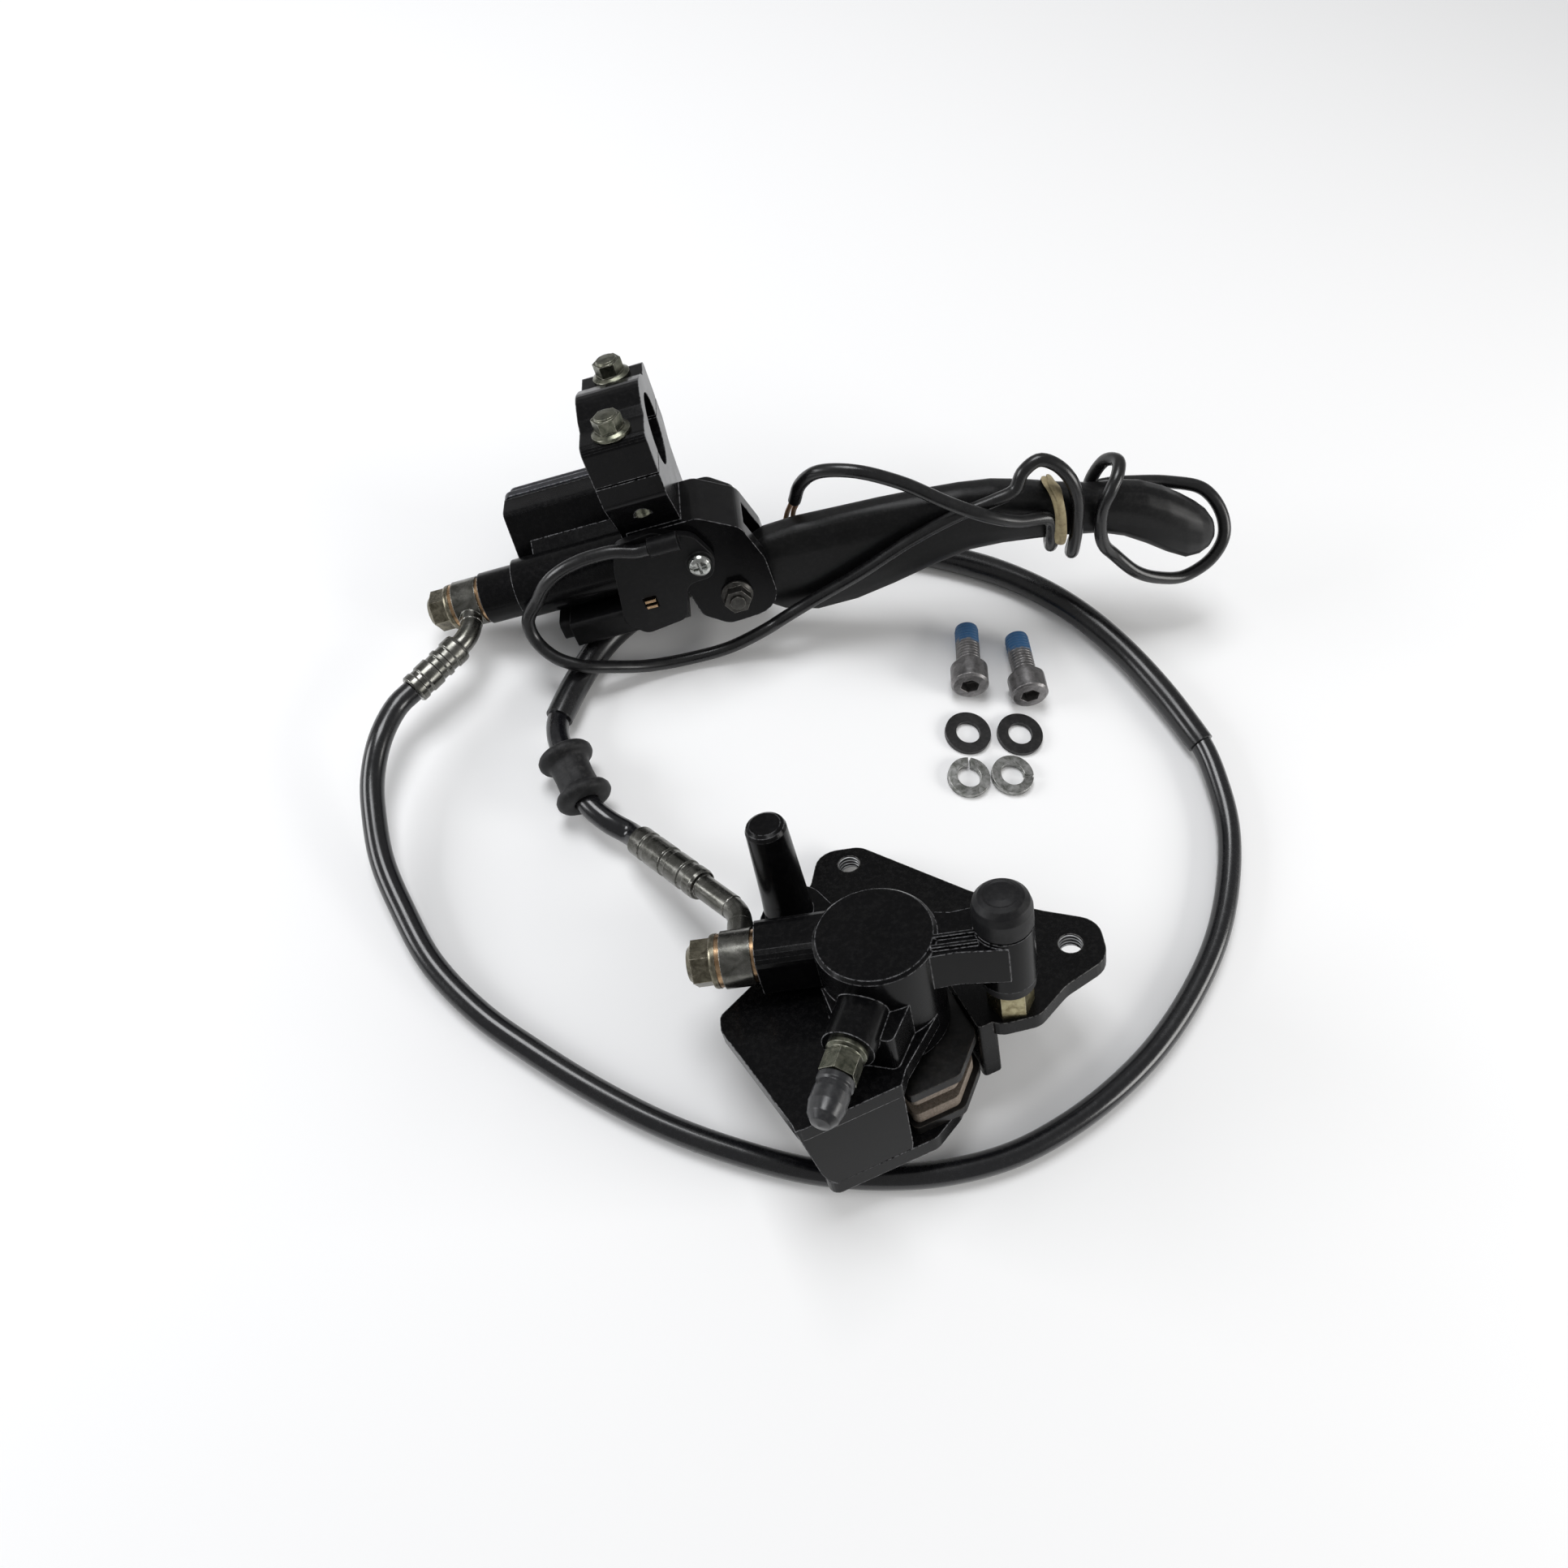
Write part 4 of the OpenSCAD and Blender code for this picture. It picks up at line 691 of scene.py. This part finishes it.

# %% [markdown]
# The fasteners and fittings are zinc plated in several dull tones, and the sealing washers are raw
# copper. The mounting bolts are dull grey steel with blue thread lock on their tips.

# %% Metals
# Each edge colour in these finishes is a painted highlight along the edges.
olive_zinc = finish("olive_zinc", (0.2, 0.2, 0.155), 0.24, 0.95, blotch=(0.07, 0.075, 0.055),
                    edge=(0.5, 0.49, 0.42), edge_radius=0.3, relief=0.015, dust=0.12)
brown_zinc = finish("brown_zinc", (0.26, 0.24, 0.18), 0.22, 0.95, blotch=(0.09, 0.08, 0.055),
                    edge=(0.6, 0.56, 0.46), edge_radius=0.3, relief=0.015, dust=0.12)
fitting_zinc = finish("fitting_zinc", (0.19, 0.187, 0.172), 0.18, 0.95, blotch=(0.09, 0.09, 0.078),
                      blotch_scale=260, edge=(0.65, 0.64, 0.6), edge_radius=0.3, relief=0.015,
                      dust=0.12)
yellow_zinc = finish("yellow_zinc", (0.4, 0.36, 0.22), 0.24, 0.95, blotch=(0.2, 0.17, 0.09),
                     edge=(0.7, 0.65, 0.48), edge_radius=0.3, relief=0.015, dust=0.12)
bright_steel = finish("bright_steel", (0.5, 0.5, 0.48), 0.2, 1.0, blotch=(0.3, 0.3, 0.28),
                      edge=(0.7, 0.7, 0.68), edge_radius=0.3, relief=0.015, dust=0.15)
spring_steel = finish("spring_washer_steel", (0.42, 0.42, 0.41), 0.25, 0.95,
                      blotch=(0.14, 0.145, 0.13), edge=(0.5, 0.5, 0.47), edge_radius=0.25,
                      relief=0.015, dust=0.12)
chrome_plate = finish("chrome_screw", (0.6, 0.61, 0.59), 0.12, 1.0, blotch=(0.3, 0.31, 0.29),
                      edge_radius=0.35, relief=0.01, dust=0.1)
raw_copper = finish("raw_copper", (0.55, 0.37, 0.22), 0.2, 1.0, blotch=(0.32, 0.2, 0.11),
                    edge=(0.75, 0.6, 0.42), edge_radius=0.2, relief=0.015, dust=0.1)
cast_alloy = finish("machined_alloy", (0.6, 0.61, 0.62), 0.28, 1.0, blotch=(0.42, 0.42, 0.43),
                    edge_radius=0.3, relief=0.02, dust=0.15)
dark_steel = finish("dark_steel", (0.08, 0.078, 0.072), 0.3, 0.9, blotch=(0.04, 0.038, 0.035),
                    edge=(0.25, 0.24, 0.22), edge_radius=0.3, relief=0.02, dust=0.12)
plate_steel = finish("pad_plate_paint", (0.0045, 0.0045, 0.0048), 0.3, blotch=(0.009, 0.008, 0.007),
                     edge=(0.1, 0.085, 0.065), edge_radius=0.3, relief=0.03, dust=0.06,
                     specular=0.25)
pad_friction = finish("pad_friction", (0.3, 0.25, 0.205), 0.75, blotch=(0.17, 0.135, 0.105),
                      blotch_scale=1500, grain=1500, wave=700, relief=0.25, dust=0.12,
                      edge_radius=0.3)
washer_black = finish("black_oxide_washer", (0.0085, 0.0085, 0.009), 0.3, 0.3,
                      blotch=(0.016, 0.015, 0.015), edge=(0.1, 0.1, 0.1), edge_radius=0.25,
                      relief=0.02, dust=0.08)
core_plastic = finish("tan_core_jacket", (0.42, 0.24, 0.12), 0.45, blotch=(0.3, 0.16, 0.08),
                      edge_radius=0.1, relief=0.02, dust=0.2)
print("finishes:", len(bpy.data.materials))

# %% [markdown]
# The mounting bolts' thread lock needs a colour that changes along each bolt. The bolts lie still,
# so the place on the table tells head from tip, and the same finish gets a blue end.

# %% Mounting bolts with blue thread lock
bolt_steel = finish("bolt_steel", (0.27, 0.262, 0.262), 0.3, 0.85, blotch=(0.15, 0.145, 0.145),
                    edge=(0.5, 0.48, 0.47), edge_radius=0.35, relief=0.02, dust=0.12)
tree = bolt_steel.node_tree
shader = tree.nodes["Principled BSDF"]
place = add(tree, "ShaderNodeTexCoord")
spot = add(tree, "ShaderNodeSeparateXYZ", Vector=place["Object"])
ragged = add(tree, "ShaderNodeTexNoise", Vector=place["Object"], Scale=500.0, Detail=4.0)
wavy = add(tree, "ShaderNodeMath", operation="MULTIPLY_ADD", i0=ragged["Fac"], i1=0.006,
           i2=spot["Y"])
blue_from = on_table((0, 243.5, 0))[0].y
lock_mask = add(tree, "ShaderNodeMapRange", Value=wavy["Value"], i1=blue_from + 0.003,
                i2=blue_from + 0.0042)
plain = shader.inputs["Base Color"].links[0].from_socket
locked = add(tree, "ShaderNodeMix", **MIX, i0=lock_mask["Result"], i6=plain,
             i7=(0.026, 0.095, 0.21, 1))
tree.links.new(locked[2], shader.inputs["Base Color"])
metal = add(tree, "ShaderNodeMapRange", Value=lock_mask["Result"], i3=0.85, i4=0.0)
tree.links.new(metal["Result"], shader.inputs["Metallic"])
print("thread lock from y =", round(blue_from, 4))

# %% Give each CAD node its finish
finish_of = {
    castings_paint: ["master_cylinder_body", "clamp_cap", "caliper_body"],
    lid_paint: ["reservoir_lid"],
    lever_paint: ["brake_lever"],
    bracket_paint: ["caliper_bracket"],
    olive_zinc: ["clamp_bolts", "bleeder_screw"],
    brown_zinc: ["upper_banjo_bolt", "lower_banjo_bolt"],
    fitting_zinc: ["upper_hose_fitting", "lower_hose_fitting"],
    yellow_zinc: ["long_slide_pin", "short_slide_pin"],
    bright_steel: ["lid_screws"],
    spring_steel: ["spring_washers"],
    chrome_plate: ["switch_screw", "caliper_piston"],
    raw_copper: ["upper_copper_washers", "lower_copper_washers", "switch_terminals"],
    cast_alloy: ["master_piston"],
    dark_steel: ["lever_pivot_bolt", "lever_pivot_nut", "piston_circlip"],
    soft_rubber: ["reservoir_diaphragm", "piston_cups", "piston_dust_boot", "slide_pin_boots",
                  "piston_seal", "piston_wiper"],
    grey_rubber: ["bleeder_cap"],
    post_rubber: ["slide_pin_cap"],
    black_plastic: ["brake_switch", "switch_plunger"],
    plate_steel: ["inner_pad_plate", "outer_pad_plate"],
    pad_friction: ["inner_pad_lining", "outer_pad_lining"],
    bolt_steel: ["mounting_bolts"],
    washer_black: ["flat_washers"],
}


def dress(piece, material):
    """Puts a material on the object's own slots and leaves its mesh as it is."""
    if not piece.material_slots:
        piece.data.materials.append(material)
    for slot in piece.material_slots:
        slot.link = "OBJECT"
        slot.material = material


for material, names in finish_of.items():
    for name in names:
        dress(cad_nodes[name], material)
for piece, material in [(hose, hose_rubber), (sleeve, sleeve_rubber), (lead, lead_jacket),
                        (cores, core_plastic), (band, band_rubber), (grommet, soft_rubber),
                        (spring, bright_steel), *[(ridge, bolt_steel) for ridge in bolt_threads],
                        *[(ridge, cast_alloy) for ridge in hole_threads]]:
    dress(piece, material)
undressed = set(cad_nodes) - {n for names in finish_of.values() for n in names}
print("nodes that pieces stand for:", sorted(undressed))

# %% [markdown]
# ## Floor and light
# The set lies on a plain pale floor in a soft studio. The floor's own colour makes the white
# background, and it keeps the shadows. A lamp overhead gives the soft sheen on the black parts,
# and a soft box on each side draws the bright streaks along the hose and the castings' edges.

# %% The floor
floor_mesh = bmesh.new()
bmesh.ops.create_grid(floor_mesh, x_segments=1, y_segments=1, size=6.0)
floor = mesh_object("floor", floor_mesh)
floor.location.z = -0.0002
floor_material = bpy.data.materials.new("pale_floor")
floor_material.use_nodes = True
floor_shader = floor_material.node_tree.nodes["Principled BSDF"]
floor_shader.inputs["Base Color"].default_value = (0.98, 0.98, 0.98, 1)
floor_shader.inputs["Roughness"].default_value = 0.9
floor_shader.inputs["Specular IOR Level"].default_value = 0.1
dress(floor, floor_material)


# %% The lamps and the world
def soft_lamp(name, at, aim, size, watts, colour=(1, 1, 1)):
    lamp = bpy.data.lights.new(name, "AREA")
    lamp.shape, lamp.size, lamp.size_y = "RECTANGLE", size[0], size[1]
    lamp.energy, lamp.color = watts, colour
    holder = bpy.data.objects.new(name, lamp)
    bpy.context.scene.collection.objects.link(holder)
    holder.location = at
    holder.rotation_mode = "QUATERNION"
    holder.rotation_quaternion = (Vector(aim) - Vector(at)).to_track_quat("-Z", "Y")
    return holder


soft_lamp("overhead", (-0.3, 0.35, 1.2), (0, 0, 0), (0.55, 0.55), 8.0, (0.97, 0.98, 1))
soft_lamp("right_box", (0.85, -0.08, 0.36), (0.05, 0, 0.02), (0.5, 0.34), 3.6, (1, 0.99, 0.97))
soft_lamp("left_box", (-0.85, -0.15, 0.4), (0, 0, 0.02), (0.5, 0.34), 3.6, (0.97, 0.98, 1))
world = bpy.data.worlds.new("studio")
bpy.context.scene.world = world
world.use_nodes = True
world.node_tree.nodes["Background"].inputs["Color"].default_value = (1, 1, 1, 1)
world.node_tree.nodes["Background"].inputs["Strength"].default_value = 0.3
bpy.context.scene.view_settings.view_transform = "Standard"
